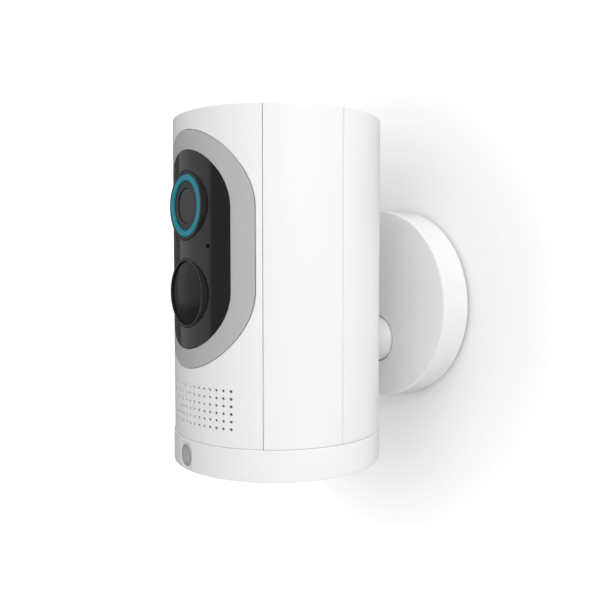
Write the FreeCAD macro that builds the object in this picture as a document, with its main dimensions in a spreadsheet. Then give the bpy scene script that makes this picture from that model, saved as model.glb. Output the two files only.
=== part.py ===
import FreeCAD, Part

import os
import re

import Sketcher
from FreeCAD import Placement, Rotation, Vector

# A battery camera on a wall plate. The wall is the plane y = 0, with the camera on its -Y side.
# The origin is the centre of the wall plate's back. The drum stands upright and faces -Y.
# Millimetres. Every size that can be set by itself is a cell of the sheet called Sizes.
SIZES = [
    # drum
    ("body_radius", 30.0, "outer radius of the drum"),
    ("shell_wall", 2.0, "wall of the white shells"),
    ("edge_bevel", 0.7, "bevel at the drum's top and bottom edge"),
    ("front_half_angle", 49.0, "front shell, degrees from the middle to its seam"),
    ("side_end_angle", 91.5, "side panel, degrees from the front to its rear seam"),
    ("seam_gap", 0.3, "gap between neighbouring shells"),
    ("band_height", 8.5, "height of the bottom band"),
    ("band_proud", 0.3, "how far the band stands out past the shells"),
    ("base_recess", 0.3, "how far the underside is let in above the band's lower edge"),
    ("top_margin", 5.1, "shell left above the grey frame"),
    # face
    ("side_margin", 1.4, "shell left beside the grey frame, measured across"),
    ("bezel_width", 5.2, "width of the grey frame"),
    ("bezel_thickness", 1.5, "thickness of the grey frame"),
    ("pir_inset", 15.2, "window's low end to the motion sensor's centre"),
    ("turret_pitch", 23.7, "motion sensor's centre up to the lens centre"),
    ("lens_inset", 14.9, "lens centre to the window's high end"),
    ("turret_radius", 9.4, "radius of both round turrets"),
    ("trim_fit", 0.05, "clearance between pieces let into each other"),
    # lens
    ("ring_radius", 8.5, "outer radius of the light ring"),
    ("ring_width", 1.7, "width of the light ring"),
    ("ring_proud", 0.4, "how far the light ring stands out"),
    ("glass_radius", 4.7, "radius of the clear lens cover"),
    ("glass_depth", 0.7, "how deep the lens cover sits"),
    ("barrel_radius", 5.0, "outer radius of the lens barrel"),
    ("element_radius", 3.6, "radius of the front lens element"),
    # motion sensor
    ("rim_width", 0.55, "width of the motion sensor's rim"),
    ("dome_gap", 0.2, "gap round the dome"),
    ("dome_edge_depth", 0.9, "depth of the dome's edge behind the rim"),
    ("dome_rise", 1.5, "rise of the dome from its edge"),
    ("dome_wall", 1.2, "thickness of the dome"),
    ("can_radius", 4.1, "radius of the sensor can"),
    # microphone and speaker
    ("mic_across", 9.7, "microphone hole, distance to the right of the middle"),
    ("mic_above_pir", 12.6, "microphone hole, height above the motion sensor"),
    ("mic_radius", 0.55, "radius of the microphone hole"),
    ("boot_radius", 2.0, "radius of the microphone's rubber boot"),
    ("grille_pitch", 2.0, "distance between grille holes"),
    ("grille_hole_radius", 0.4, "radius of a grille hole"),
    ("grille_above_band", 4.9, "lowest row of holes above the band"),
    ("bezel_above_grille", 4.8, "grey frame above the highest row of holes"),
    ("speaker_depth", 6.0, "thickness of the speaker"),
    # badge
    ("badge_radius", 2.9, "radius of the round badge"),
    ("badge_thickness", 0.5, "thickness of the badge"),
    # inside
    ("sleeve_gap", 0.25, "gap between the shells and the inner sleeve"),
    ("sleeve_wall", 1.5, "wall of the inner sleeve"),
    ("inner_gap", 0.4, "gap between the sleeve and what stands inside it"),
    ("cap_thickness", 2.0, "thickness of the top and bottom caps"),
    ("board_thickness", 1.2, "thickness of the circuit boards"),
    ("cell_radius", 9.2, "radius of a battery cell"),
    ("cell_length", 65.0, "length of a battery cell"),
    ("cell_gap", 0.6, "gap between the two cells"),
    ("cradle_wall", 1.5, "end walls of the battery cradle"),
    ("cell_play", 0.8, "room for a contact at each end of a cell"),
    ("card_height", 1.8, "height of the memory card socket"),
    # wall plate and ball joint
    ("wall_gap", 9.2, "drum's back to the wall plate's face"),
    ("disc_radius", 30.0, "radius of the wall plate"),
    ("disc_height", 43.5, "wall plate's centre above the drum's base"),
    ("cover_depth", 10.4, "depth of the wall plate's cover"),
    ("shadow_gap", 0.5, "gap between the cover and the wall"),
    ("cover_wall", 1.8, "wall of the cover"),
    ("bracket_thickness", 2.0, "thickness of the bracket on the wall"),
    ("ball_drop", 11.4, "ball centre below the wall plate's centre"),
    ("ball_radius", 7.7, "radius of the ball"),
    ("ball_depth", 3.0, "ball centre behind the cover's face"),
    ("ball_lip_gap", 0.4, "gap between the ball and the cover round it"),
    ("running_fit", 0.05, "radial clearance of what turns in its seat"),
    ("friction_wall", 0.5, "thickness of the friction ring"),
    ("socket_radius", 10.6, "outer radius of the ball socket"),
    ("neck_radius", 3.4, "radius of the neck between ball and drum"),
    ("stud_radius", 2.5, "radius of the steel stud"),
    ("insert_radius", 4.2, "outer radius of the brass insert"),
    ("insert_length", 6.5, "length of the brass insert"),
    ("seat_radius", 5.0, "radius of the flat seat in the drum's back"),
    ("seat_depth", 1.0, "depth of that seat"),
    ("wall_hole_spacing", 36.0, "distance between the two wall screw holes"),
    ("wall_hole_rise", 8.0, "wall screw holes above the plate's centre"),
    ("wall_hole_radius", 2.2, "radius of a wall screw hole"),
    # underside
    ("flap_width", 17.0, "charging flap, across"),
    ("flap_length", 11.0, "charging flap, front to back"),
    ("flap_thickness", 1.2, "thickness of the charging flap"),
    ("flap_gap", 0.3, "gap round the charging flap"),
    ("flap_setback", 3.0, "flap's front edge behind the drum's axis"),
    ("power_radius", 3.0, "radius of the power button"),
    ("power_back", 12.0, "power button in front of the drum's axis"),
    ("power_travel", 0.8, "travel of the power button"),
    ("reset_radius", 1.2, "radius of the reset button"),
    ("reset_across", 6.7, "reset button, distance beside the charging socket"),
    ("reset_travel", 0.5, "travel of the reset button"),
    ("button_gap", 0.3, "gap round each button"),
    ("screw_radius", 1.0, "radius of a small screw's shank"),
    ("screw_length", 4.5, "length of a bottom screw's shank"),
]

GRILLE_COLUMNS = 17
GRILLE_ROWS = 6
BOTTOM_SCREWS = 4
SOCKET_SCREWS = 3

# Sizes and places that follow from the cells above, each written once as an expression.
WORKED = {
    # heights above the drum's base, from the bottom up
    "grille_low": "band_height + grille_above_band",
    "grille_rise": f"{GRILLE_ROWS - 1} * grille_pitch",
    "grille_high": "grille_low + grille_rise",
    "bezel_low": "grille_high + bezel_above_grille",
    "window_low": "bezel_low + bezel_width",
    "pir_height": "window_low + pir_inset",
    "mic_height": "pir_height + mic_above_pir",
    "lens_height": "pir_height + turret_pitch",
    "window_high": "lens_height + lens_inset",
    "bezel_high": "window_high + bezel_width",
    "body_height": "bezel_high + top_margin",
    "ball_height": "disc_height - ball_drop",
    "badge_height": "band_height / 2 - 0.25",
    "sleeve_low": "cap_thickness + 0.4",
    "sleeve_high": "body_height - cap_thickness - 0.25",
    # half-widths across the face
    "speaker_half": f"{(GRILLE_COLUMNS - 1) // 2} * grille_pitch + 1.0",
    "front_chord": "body_radius * sin(front_half_angle * 1 deg)",
    "bezel_half": "front_chord - side_margin",
    "window_half": "bezel_half - bezel_width",
    # radii round the drum's axis
    "shell_bore": "body_radius - shell_wall",
    "sleeve_radius": "shell_bore - sleeve_gap",
    "sleeve_bore": "sleeve_radius - sleeve_wall",
    "inner_radius": "sleeve_bore - inner_gap",
    "band_radius": "body_radius + band_proud",
    # distances in front of the drum's axis
    "ring_bore": "ring_radius - ring_width",
    "turret_base": "shell_bore - 2 * shell_wall",
    "glass_front": "body_radius - glass_depth",
    "barrel_front": "glass_front - 1.6",
    "barrel_back": "barrel_front - 8.5",
    "sensor_front": "barrel_back - 1.0",
    "camera_board_front": "sensor_front - 1.2",
    "camera_board_back": "camera_board_front - board_thickness",
    "main_board_front": "camera_board_back - 2.6",
    "main_board_back": "main_board_front - board_thickness",
    "shield_back": "main_board_back - 1.6",
    "dome_radius": "turret_radius - rim_width - dome_gap",
    "dome_edge": "body_radius - dome_edge_depth",
    "dome_sphere": "(dome_radius * dome_radius + dome_rise * dome_rise) / (2 * dome_rise)",
    "can_front": "dome_edge - dome_wall - 2.0",
    "can_back": "can_front - 4.0",
    "pir_board_back": "can_back - board_thickness",
    "pad_reach": "speaker_half + 1",
    "pad_limit": "sqrt(shell_bore * shell_bore - pad_reach * pad_reach) - 0.9",
    "speaker_front": "min(body_radius - 9.5; pad_limit)",
    "speaker_back": "speaker_front - speaker_depth",
    # battery, behind the drum's axis and above its base
    "cell_across": "cell_radius + cell_gap / 2",
    "cell_reach": "inner_radius - cell_radius - 0.5",
    "block_front": "shell_bore - insert_length - 0.8",
    "cell_limit": "block_front - 0.4 - cell_radius",
    "cell_back": "min(sqrt(cell_reach * cell_reach - cell_across * cell_across) - 2.0; cell_limit)",
    "cell_bottom": "port_board_high + card_height + 1.0 + cradle_wall + cell_play",
    "cell_top": "cell_bottom + cell_length",
    # underside, above the base
    "flap_back": "flap_setback + flap_length",
    "socket_back": "flap_setback + flap_length / 2",
    "port_board_low": "band_height - 1.5",
    "port_board_high": "port_board_low + board_thickness",
    # distances out from the wall
    "plate_depth": "cover_depth + shadow_gap",
    "axis_standoff": "plate_depth + wall_gap + body_radius",
    "rear_out": "plate_depth + wall_gap",
    "ball_out": "plate_depth - ball_depth",
    "seat_out": "rear_out + seat_depth",
    "friction_radius": "ball_radius + running_fit + friction_wall",
    "cavity_radius": "friction_radius + running_fit",
}

ALIASES = {alias for alias, number, meaning in SIZES}
WORD = re.compile(r"[A-Za-z_]\w*")

# The drum's own frame: its axis at x = y = 0, its base at z = 0.
DRUM = ("0", "-axis_standoff", "-disc_height")
PLATE = ("0", "0", "0")
# Turned pieces stand on their local Z. These point it out from the wall, or back towards it.
OUTWARD = Rotation(Vector(1, 0, 0), 90)
BACKWARD = Rotation(Vector(1, 0, 0), -90)
UPRIGHT = Rotation()

doc = FreeCAD.newDocument("wall_camera")
sheet = doc.addObject("Spreadsheet::Sheet", "Sizes")
for row, (alias, number, meaning) in enumerate(SIZES, start=2):
    sheet.set(f"A{row}", alias)
    sheet.set(f"B{row}", str(number))
    sheet.setAlias(f"B{row}", alias)
    sheet.set(f"C{row}", meaning)
doc.recompute()


def formula(text):
    """An expression for FreeCAD: each worked name is spelled out, each alias read from the sheet."""

    def spell(match):
        word = match.group(0)
        if word in WORKED:
            return "(" + formula(WORKED[word]) + ")"
        if word in ALIASES:
            return "Sizes." + word
        return word

    return WORD.sub(spell, str(text))


def value(text):
    """The number that an expression comes to."""
    return float(sheet.evalExpression(formula(text)))


def bind(item, **properties):
    """Ties an object's properties to expressions."""
    for name, text in properties.items():
        item.setExpression(name, formula(text))


PLACED = {}


def place(item, at, turn=UPRIGHT):
    """Puts an object at three expressions, turned by a fixed rotation, and notes where."""
    PLACED[item.Name] = (at, turn)
    item.Placement = Placement(Vector(), turn)
    for axis, text in zip("xyz", at):
        item.setExpression(f"Placement.Base.{axis}", formula(text))
    return item


def cylinder(name, radius, height, at=("0", "0", "0"), turn=UPRIGHT):
    """A cylinder that stands on the point at, along its local Z."""
    item = doc.addObject("Part::Cylinder", name)
    bind(item, Radius=radius, Height=height)
    return place(item, at, turn)


def outward(name, radius, low, high, across="0", up="0"):
    """A cylinder along -Y between two distances in front of the drum's axis."""
    return cylinder(name, radius, f"({high}) - ({low})", (across, f"-({low})", up), OUTWARD)


def box(name, low, high):
    """A box between two corners, each three expressions."""
    item = doc.addObject("Part::Box", name)
    bind(
        item,
        Length=f"({high[0]}) - ({low[0]})",
        Width=f"({high[1]}) - ({low[1]})",
        Height=f"({high[2]}) - ({low[2]})",
    )
    return place(item, low)


def board(name, half_width, front, back, low, high, across="0"):
    """An upright plate or block, by its distances in front of the drum's axis and its heights."""
    left = f"({across}) - ({half_width})"
    right = f"({across}) + ({half_width})"
    return box(name, (left, f"-({front})", low), (right, f"-({back})", high))


def sphere(name, radius, at):
    """A ball round the point at."""
    item = doc.addObject("Part::Sphere", name)
    bind(item, Radius=radius)
    return place(item, at)


def fuse(name, *shapes):
    """One solid, or one group, out of several."""
    item = doc.addObject("Part::MultiFuse", name)
    item.Shapes = list(shapes)
    item.Refine = True
    return item


def cut(name, base, *tools):
    """The base with the tools taken away."""
    item = doc.addObject("Part::Cut", name)
    item.Base = base
    item.Tool = tools[0] if len(tools) == 1 else fuse(name + "_tools", *tools)
    item.Refine = True
    return item


def common(name, first, second):
    """What two shapes share."""
    item = doc.addObject("Part::Common", name)
    item.Base = first
    item.Tool = second
    item.Refine = True
    return item


def origin_plane(body, role):
    """One of a body's own origin planes."""
    return next(plane for plane in body.Origin.OriginFeatures if plane.Role == role)


def new_sketch(body, name, role):
    """A sketch on one of the body's origin planes."""
    sketch = body.newObject("Sketcher::SketchObject", name)
    sketch.AttachmentSupport = (origin_plane(body, role), [""])
    sketch.MapMode = "FlatFace"
    return sketch


def constrain(sketch, label, *terms):
    """Adds a named constraint whose last term is an expression."""
    text = terms[-1]
    index = sketch.addConstraint(Sketcher.Constraint(*terms[:-1], value(text)))
    sketch.renameConstraint(index, label)
    sketch.setExpression(f"Constraints.{label}", formula(text))


def outline(sketch, corners):
    """A closed outline of straight lines whose corners are pairs of expressions."""
    points = [Vector(value(across), value(up), 0) for across, up in corners]
    count = len(points)
    for index, point in enumerate(points):
        sketch.addGeometry(Part.LineSegment(point, points[(index + 1) % count]))
    for index in range(count):
        sketch.addConstraint(Sketcher.Constraint("Coincident", index, 2, (index + 1) % count, 1))
    for index, (across, up) in enumerate(corners):
        if across == "0":
            sketch.addConstraint(Sketcher.Constraint("PointOnObject", index, 1, -2))
        else:
            constrain(sketch, f"across{index}", "DistanceX", -1, 1, index, 1, across)
        if up == "0":
            sketch.addConstraint(Sketcher.Constraint("PointOnObject", index, 1, -1))
        else:
            constrain(sketch, f"up{index}", "DistanceY", -1, 1, index, 1, up)


def turned(name, corners, at=("0", "0", "0"), turn=UPRIGHT):
    """A piece turned about its local Z from an outline of (radius, height) corners."""
    body = doc.addObject("PartDesign::Body", name)
    sketch = new_sketch(body, name + "_outline", "XZ_Plane")
    outline(sketch, corners)
    feature = body.newObject("PartDesign::Revolution", name + "_turn")
    feature.Profile = sketch
    feature.ReferenceAxis = (sketch, ["V_Axis"])
    feature.Angle = 360
    body.Tip = feature
    return place(body, at, turn)


def turned_outward(name, corners, up="0"):
    """A piece turned about a line along -Y; the heights are distances before the drum's axis."""
    return turned(name, corners, ("0", "0", up), OUTWARD)


def oblong(name, half_width, low, high):
    """An upright oblong bar with round ends that runs from the drum's axis out of its front."""
    body = doc.addObject("PartDesign::Body", name)
    sketch = new_sketch(body, name + "_outline", "XZ_Plane")
    half = value(half_width)
    centres = (value(low) + half, value(high) - half)
    right = Part.LineSegment(Vector(half, centres[0], 0), Vector(half, centres[1], 0))
    left = Part.LineSegment(Vector(-half, centres[1], 0), Vector(-half, centres[0], 0))
    upper = Part.ArcOfCircle(Part.Circle(Vector(0, centres[1], 0), Vector(0, 0, 1), half), 0, 3.14159265)
    lower = Part.ArcOfCircle(
        Part.Circle(Vector(0, centres[0], 0), Vector(0, 0, 1), half), 3.14159265, 6.28318531
    )
    for edge in (right, upper, left, lower):
        sketch.addGeometry(edge)
    for edge in range(4):
        sketch.addConstraint(Sketcher.Constraint("Tangent", edge, 2, (edge + 1) % 4, 1))
    for arc in (1, 3):
        sketch.addConstraint(Sketcher.Constraint("PointOnObject", arc, 3, -2))
    sketch.addConstraint(Sketcher.Constraint("Vertical", 0))
    constrain(sketch, "half_width", "Radius", 1, half_width)
    constrain(sketch, "upper_centre", "DistanceY", -1, 1, 1, 3, f"({high}) - ({half_width})")
    constrain(sketch, "lower_centre", "DistanceY", -1, 1, 3, 3, f"({low}) + ({half_width})")
    pad = body.newObject("PartDesign::Pad", name + "_pad")
    pad.Profile = sketch
    bind(pad, Length="band_radius + 5")
    body.Tip = pad
    return body


def wedge(name, start, end):
    """A sector of the drum between two angles, in degrees round from the front towards +X."""
    item = doc.addObject("Part::Cylinder", name)
    bind(item, Radius="body_radius + 10", Height="body_height + 10", Angle=f"({end}) - ({start})")
    item.Placement = Placement(Vector(), Rotation(Vector(0, 0, 1), 10))
    item.setExpression("Placement.Rotation.Angle", formula(f"(270 + ({start})) * 1 deg"))
    return item


def tube(name, outer, inner, low, high):
    """A plain tube round the drum's axis."""
    return turned(name, [(inner, low), (outer, low), (outer, high), (inner, high)])


def group(name, shape):
    """A shape made in code, for holes and screws that repeat."""
    item = doc.addObject("Part::Feature", name)
    item.Shape = shape
    return item


NODES = []


def node(label, item, frame):
    """Names a finished piece and moves it from the frame that it was drawn in to its place."""
    at, turn = PLACED.get(item.Name, (("0", "0", "0"), UPRIGHT))
    place(item, [f"({start}) + ({step})" for start, step in zip(frame, at)], turn)
    item.Label = label
    NODES.append(item)
    return item


def skin(name):
    """The white tube that the shells are cut from, with its top edge bevelled."""
    return turned(
        name,
        [
            ("shell_bore", "band_height + seam_gap"),
            ("body_radius", "band_height + seam_gap"),
            ("body_radius", "body_height - edge_bevel"),
            ("body_radius - edge_bevel", "body_height"),
            ("shell_bore", "body_height"),
        ],
    )


def grille_holes():
    """One drill for every hole of the speaker grille, in even columns and rows."""
    pitch = value("grille_pitch")
    low = value("grille_low")
    start = -value("body_radius + 5")
    reach = -start - value("shell_bore * cos(front_half_angle * 1 deg)") + 5
    drills = []
    for column in range(GRILLE_COLUMNS):
        across = (column - (GRILLE_COLUMNS - 1) / 2) * pitch
        for row in range(GRILLE_ROWS):
            at = Vector(across, start, low + row * pitch)
            drills.append(Part.makeCylinder(value("grille_hole_radius"), reach, at, Vector(0, 1, 0)))
    return group("grille_drills", Part.makeCompound(drills))


def shells():
    """The four white shells, parted by upright seams."""
    half_seam = "seam_gap / 2 / body_radius * 180 / pi"
    front = wedge(
        "front_sector", f"-front_half_angle + {half_seam}", f"front_half_angle - {half_seam}"
    )
    window = oblong(
        "frame_opening",
        "bezel_half + trim_fit",
        "bezel_low - trim_fit",
        "bezel_high + trim_fit",
    )
    front_part = common("front_part", skin("front_skin"), front)
    node("front_shell", cut("front_shell", front_part, window, grille_holes()), DRUM)
    starts = {
        "right": ("front_half_angle", "side_end_angle"),
        "left": ("360 - side_end_angle", "360 - front_half_angle"),
    }
    for side, (start, end) in starts.items():
        sector = wedge(f"{side}_sector", f"{start} + {half_seam}", f"{end} - {half_seam}")
        panel = common(f"side_panel_{side}", skin(f"{side}_skin"), sector)
        node(f"side_panel_{side}", panel, DRUM)
    rear = wedge(
        "rear_sector", f"side_end_angle + {half_seam}", f"360 - side_end_angle - {half_seam}"
    )
    seat = cylinder(
        "rear_seat",
        "seat_radius",
        "seat_depth + 5",
        ("0", "body_radius + 5", "ball_height"),
        OUTWARD,
    )
    stud_hole = cylinder(
        "rear_stud_hole", "stud_radius + 0.5", "20", ("0", "body_radius + 5", "ball_height"), OUTWARD
    )
    rear_part = common("rear_part", skin("rear_skin"), rear)
    node("rear_shell", cut("rear_shell", rear_part, seat, stud_hole), DRUM)


def caps_and_band():
    """The lid, the bottom band and the underside."""
    cap_radius = "shell_bore - trim_fit"
    lid = turned(
        "top_cap",
        [
            ("0", "body_height - cap_thickness"),
            ("sleeve_bore - trim_fit", "body_height - cap_thickness"),
            ("sleeve_bore - trim_fit", "body_height - cap_thickness - 0.2"),
            (cap_radius, "body_height - cap_thickness - 0.2"),
            (cap_radius, "body_height - 0.4"),
            ("shell_bore - 0.4", "body_height"),
            ("0", "body_height"),
        ],
    )
    node("top_cap", lid, DRUM)
    band = turned(
        "band_blank",
        [
            ("shell_bore", "0"),
            ("band_radius - edge_bevel", "0"),
            ("band_radius", "edge_bevel"),
            ("band_radius", "band_height"),
            ("shell_bore", "band_height"),
        ],
    )
    pocket = outward(
        "badge_pocket",
        "badge_radius + trim_fit",
        "shell_bore - 5",
        "band_radius + 5",
        up="badge_height",
    )
    inset = turned(
        "badge_floor",
        [
            ("0", "0"),
            ("band_radius - badge_thickness", "0"),
            ("band_radius - badge_thickness", "band_height"),
            ("0", "band_height"),
        ],
    )
    node("base_band", cut("base_band", band, cut("badge_recess", pocket, inset)), DRUM)
    badge_ring = tube(
        "badge_skin", "band_radius", "band_radius - badge_thickness + trim_fit", "0", "band_height"
    )
    badge_bar = outward(
        "badge_bar", "badge_radius", "shell_bore - 5", "band_radius + 5", up="badge_height"
    )
    node("front_badge", common("front_badge", badge_ring, badge_bar), DRUM)


def underside():
    """The bottom cap with its screws, and the three moving pieces that it holds."""
    flap_half = "flap_width / 2"
    cap = cylinder("bottom_plate", "shell_bore - trim_fit", "cap_thickness", ("0", "0", "base_recess"))
    flap_room = box(
        "flap_room",
        (f"-({flap_half} + flap_gap)", "flap_setback - flap_gap", "-1"),
        (f"{flap_half} + flap_gap", "flap_back + flap_gap", "base_recess + flap_thickness + flap_gap"),
    )
    plug_hole = box("plug_hole", ("-4.6", "socket_back - 2.1", "0"), ("4.6", "socket_back + 2.1", "5"))
    reset_hole = cylinder(
        "reset_hole", "reset_radius + button_gap", "5", ("reset_across", "socket_back", "0")
    )
    power_hole = cylinder("power_hole", "power_radius + button_gap", "5", ("0", "-power_back", "-1"))
    screw_holes = group("bottom_screw_holes", bottom_screw_shape("screw_radius + trim_fit", "trim_fit"))
    node(
        "bottom_cap",
        cut("bottom_cap", cap, flap_room, plug_hole, reset_hole, power_hole, screw_holes),
        DRUM,
    )
    node("bottom_screws", group("bottom_screws", bottom_screw_shape("screw_radius", "0")), DRUM)
    flap = box(
        "port_cover",
        (f"-({flap_half})", "flap_setback", "base_recess"),
        (flap_half, "flap_back", "base_recess + flap_thickness"),
    )
    node("port_cover", flap, DRUM)
    power = turned(
        "power_button",
        [
            ("0", "0.1"),
            ("power_radius", "0.1"),
            ("power_radius", "base_recess + cap_thickness + 0.2"),
            ("power_radius + 0.8", "base_recess + cap_thickness + 0.2"),
            ("power_radius + 0.8", "base_recess + cap_thickness + 0.9"),
            ("0", "base_recess + cap_thickness + 0.9"),
        ],
        ("0", "-power_back", "0"),
    )
    node("power_button", power, DRUM)
    reset = turned(
        "reset_button",
        [
            ("0", "base_recess + flap_thickness + flap_gap + 0.1"),
            ("reset_radius", "base_recess + flap_thickness + flap_gap + 0.1"),
            ("reset_radius", "base_recess + cap_thickness + 0.2"),
            ("reset_radius + 0.7", "base_recess + cap_thickness + 0.2"),
            ("reset_radius + 0.7", "base_recess + cap_thickness + 0.8"),
            ("0", "base_recess + cap_thickness + 0.8"),
        ],
        ("reset_across", "socket_back", "0"),
    )
    node("reset_button", reset, DRUM)


def bottom_screw_shape(shank_radius, spare):
    """Small countersunk screws round the underside, as one group."""
    shank = value(shank_radius)
    head = value("2 * screw_radius") + value(spare)
    circle = value("sleeve_bore - 2.6")
    low = value("base_recess")
    depth = value("screw_radius")
    solids = []
    for index in range(BOTTOM_SCREWS):
        turn = Rotation(Vector(0, 0, 1), 45 + 360 / BOTTOM_SCREWS * index)
        at = turn.multVec(Vector(circle, 0, low))
        cone = Part.makeCone(head, shank, depth, at)
        body = Part.makeCylinder(shank, value("screw_length"), at + Vector(0, 0, depth))
        solids.append(cone.fuse(body))
    return Part.makeCompound(solids)


def face():
    """The grey frame and the black window let into the front shell."""
    frame_bar = oblong("frame_bar", "bezel_half", "bezel_low", "bezel_high")
    opening = oblong(
        "window_opening",
        "window_half + trim_fit",
        "window_low - trim_fit",
        "window_high + trim_fit",
    )
    frame_skin = tube(
        "frame_skin", "body_radius", "body_radius - bezel_thickness", "0", "body_height"
    )
    node("bezel_trim", cut("bezel_trim", common("frame_part", frame_skin, frame_bar), opening), DRUM)
    window_bar = oblong("window_bar", "window_half", "window_low", "window_high")
    window_skin = tube("window_skin", "body_radius", "shell_bore", "0", "body_height")
    holes = [
        outward(f"{name}_hole", "turret_radius + trim_fit", "0", "body_radius + 5", "0", up)
        for name, up in (("lens", "lens_height"), ("pir", "pir_height"))
    ]
    mic_hole = outward("mic_hole", "mic_radius", "0", "body_radius + 5", "mic_across", "mic_height")
    window_part = common("window_part", window_skin, window_bar)
    node("face_window", cut("face_window", window_part, *holes, mic_hole), DRUM)


def lens():
    """The lens turret with its light ring, and what stands behind it."""
    turret = turned_outward(
        "lens_turret",
        [
            ("barrel_radius + running_fit", "turret_base"),
            ("turret_radius", "turret_base"),
            ("turret_radius", "body_radius - 0.4"),
            ("turret_radius - 0.3", "body_radius - 0.1"),
            ("ring_radius + trim_fit", "body_radius - 0.1"),
            ("ring_radius + trim_fit", "body_radius - 1.6"),
            ("ring_bore - trim_fit", "body_radius - 1.6"),
            ("ring_bore - trim_fit", "body_radius - 0.3"),
            ("glass_radius + trim_fit", "body_radius - 0.3"),
            ("glass_radius + trim_fit", "glass_front - 1.0"),
            ("glass_radius - 0.8", "glass_front - 1.0"),
            ("glass_radius - 0.8", "barrel_front"),
            ("barrel_radius + running_fit", "barrel_front"),
        ],
        "lens_height",
    )
    node("lens_turret", turret, DRUM)
    ring = turned_outward(
        "status_ring",
        [
            ("ring_bore", "body_radius - 1.5"),
            ("ring_radius", "body_radius - 1.5"),
            ("ring_radius", "body_radius - 0.1"),
            ("ring_radius - 0.35 * ring_width", "body_radius + ring_proud"),
            ("ring_bore + 0.35 * ring_width", "body_radius + ring_proud"),
            ("ring_bore", "body_radius - 0.1"),
        ],
        "lens_height",
    )
    node("status_ring", ring, DRUM)
    cover = outward(
        "lens_window", "glass_radius", "glass_front - 1.0", "glass_front", up="lens_height"
    )
    node("lens_window", cover, DRUM)
    barrel = turned_outward(
        "lens_barrel",
        [
            ("element_radius - 1.2", "barrel_back"),
            ("barrel_radius", "barrel_back"),
            ("barrel_radius", "barrel_front - 0.1"),
            ("element_radius + trim_fit", "barrel_front - 0.1"),
            ("element_radius + trim_fit", "barrel_front - 2.1"),
            ("element_radius - 1.2", "barrel_front - 2.1"),
        ],
        "lens_height",
    )
    node("lens_barrel", barrel, DRUM)
    blank = outward(
        "element_blank", "element_radius", "barrel_front - 2.0", "barrel_front", up="lens_height"
    )
    dome = sphere(
        "element_sphere",
        "3 * element_radius",
        ("0", "-(barrel_front - 0.2 - 3 * element_radius)", "lens_height"),
    )
    node("lens_element", common("lens_element", blank, dome), DRUM)
    holder_half = "barrel_radius + 2"
    block = board(
        "holder_block",
        holder_half,
        "barrel_back + 3",
        "camera_board_front",
        f"lens_height - ({holder_half})",
        f"lens_height + ({holder_half})",
    )
    thread = outward(
        "holder_bore",
        "barrel_radius + trim_fit",
        "barrel_back - 0.2",
        "barrel_front",
        up="lens_height",
    )
    room = board(
        "sensor_room",
        "4.8",
        "barrel_back - 0.2",
        "camera_board_front - 1",
        "lens_height - 4.8",
        "lens_height + 4.8",
    )
    node("lens_holder", cut("lens_holder", block, thread, room), DRUM)
    plates = {
        "ir_filter": ("4", "sensor_front + 0.7", "sensor_front + 0.2"),
        "image_sensor": ("4.5", "sensor_front", "camera_board_front"),
    }
    for name, (half, front, back) in plates.items():
        low = f"lens_height - {half}"
        high = f"lens_height + {half}"
        node(name, board(name, half, front, back, low, high), DRUM)
    plate = board(
        "camera_block",
        "window_half - 4",
        "camera_board_front",
        "camera_board_back",
        "lens_height - turret_radius - 1",
        "window_high - 1",
    )
    node("camera_board", inside("camera_board", plate), DRUM)


def motion_sensor():
    """The ring, dome, sensor can and board of the motion sensor."""
    rim = turned_outward(
        "pir_bezel",
        [
            ("dome_radius - 1.5", "turret_base"),
            ("turret_radius", "turret_base"),
            ("turret_radius", "body_radius - 0.2"),
            ("turret_radius - 0.2", "body_radius"),
            ("turret_radius - rim_width", "body_radius"),
            ("turret_radius - rim_width", "dome_edge - dome_wall - 0.1"),
            ("dome_radius - 1.5", "dome_edge - dome_wall - 0.1"),
        ],
        "pir_height",
    )
    node("pir_bezel", rim, DRUM)
    centre = "dome_edge + dome_rise - dome_sphere"
    blank = outward(
        "dome_blank", "dome_radius", "dome_edge - dome_wall", "body_radius + 10", up="pir_height"
    )
    outer = sphere("dome_outer", "dome_sphere", ("0", f"-({centre})", "pir_height"))
    inner = sphere("dome_inner", "dome_sphere - dome_wall", ("0", f"-({centre})", "pir_height"))
    node("pir_dome", cut("pir_dome", common("dome_part", blank, outer), inner), DRUM)
    can = turned_outward(
        "pir_sensor",
        [
            ("0", "can_back"),
            ("can_radius + 0.6", "can_back"),
            ("can_radius + 0.6", "can_back + 0.6"),
            ("can_radius", "can_back + 0.6"),
            ("can_radius", "can_front"),
            ("0", "can_front"),
        ],
        "pir_height",
    )
    node("pir_sensor", can, DRUM)
    plate = board(
        "pir_block",
        "window_half - 4",
        "can_back",
        "pir_board_back",
        "window_low + 1",
        "mic_height + 2",
    )
    node("pir_board", inside("pir_board", plate), DRUM)
    node("infrared_leds", group("infrared_leds", led_shape()), DRUM)


def led_shape():
    """Two infrared lamps close behind the dark window, over the lens and under the motion sensor."""
    front = value("shell_bore - 0.5")
    heights = (
        (value("(lens_height + turret_radius + window_high) / 2"), value("camera_board_front")),
        (value("(pir_height - turret_radius + window_low) / 2"), value("can_back")),
    )
    radius = 1.4
    lamps = []
    for up, back in heights:
        lamp = Part.makeCylinder(radius, front - radius - back, Vector(0, -back, up), Vector(0, -1, 0))
        tip = Part.makeSphere(radius, Vector(0, -(front - radius), up))
        lamps.append(lamp.fuse(tip).removeSplitter())
    return Part.makeCompound(lamps)


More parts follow.
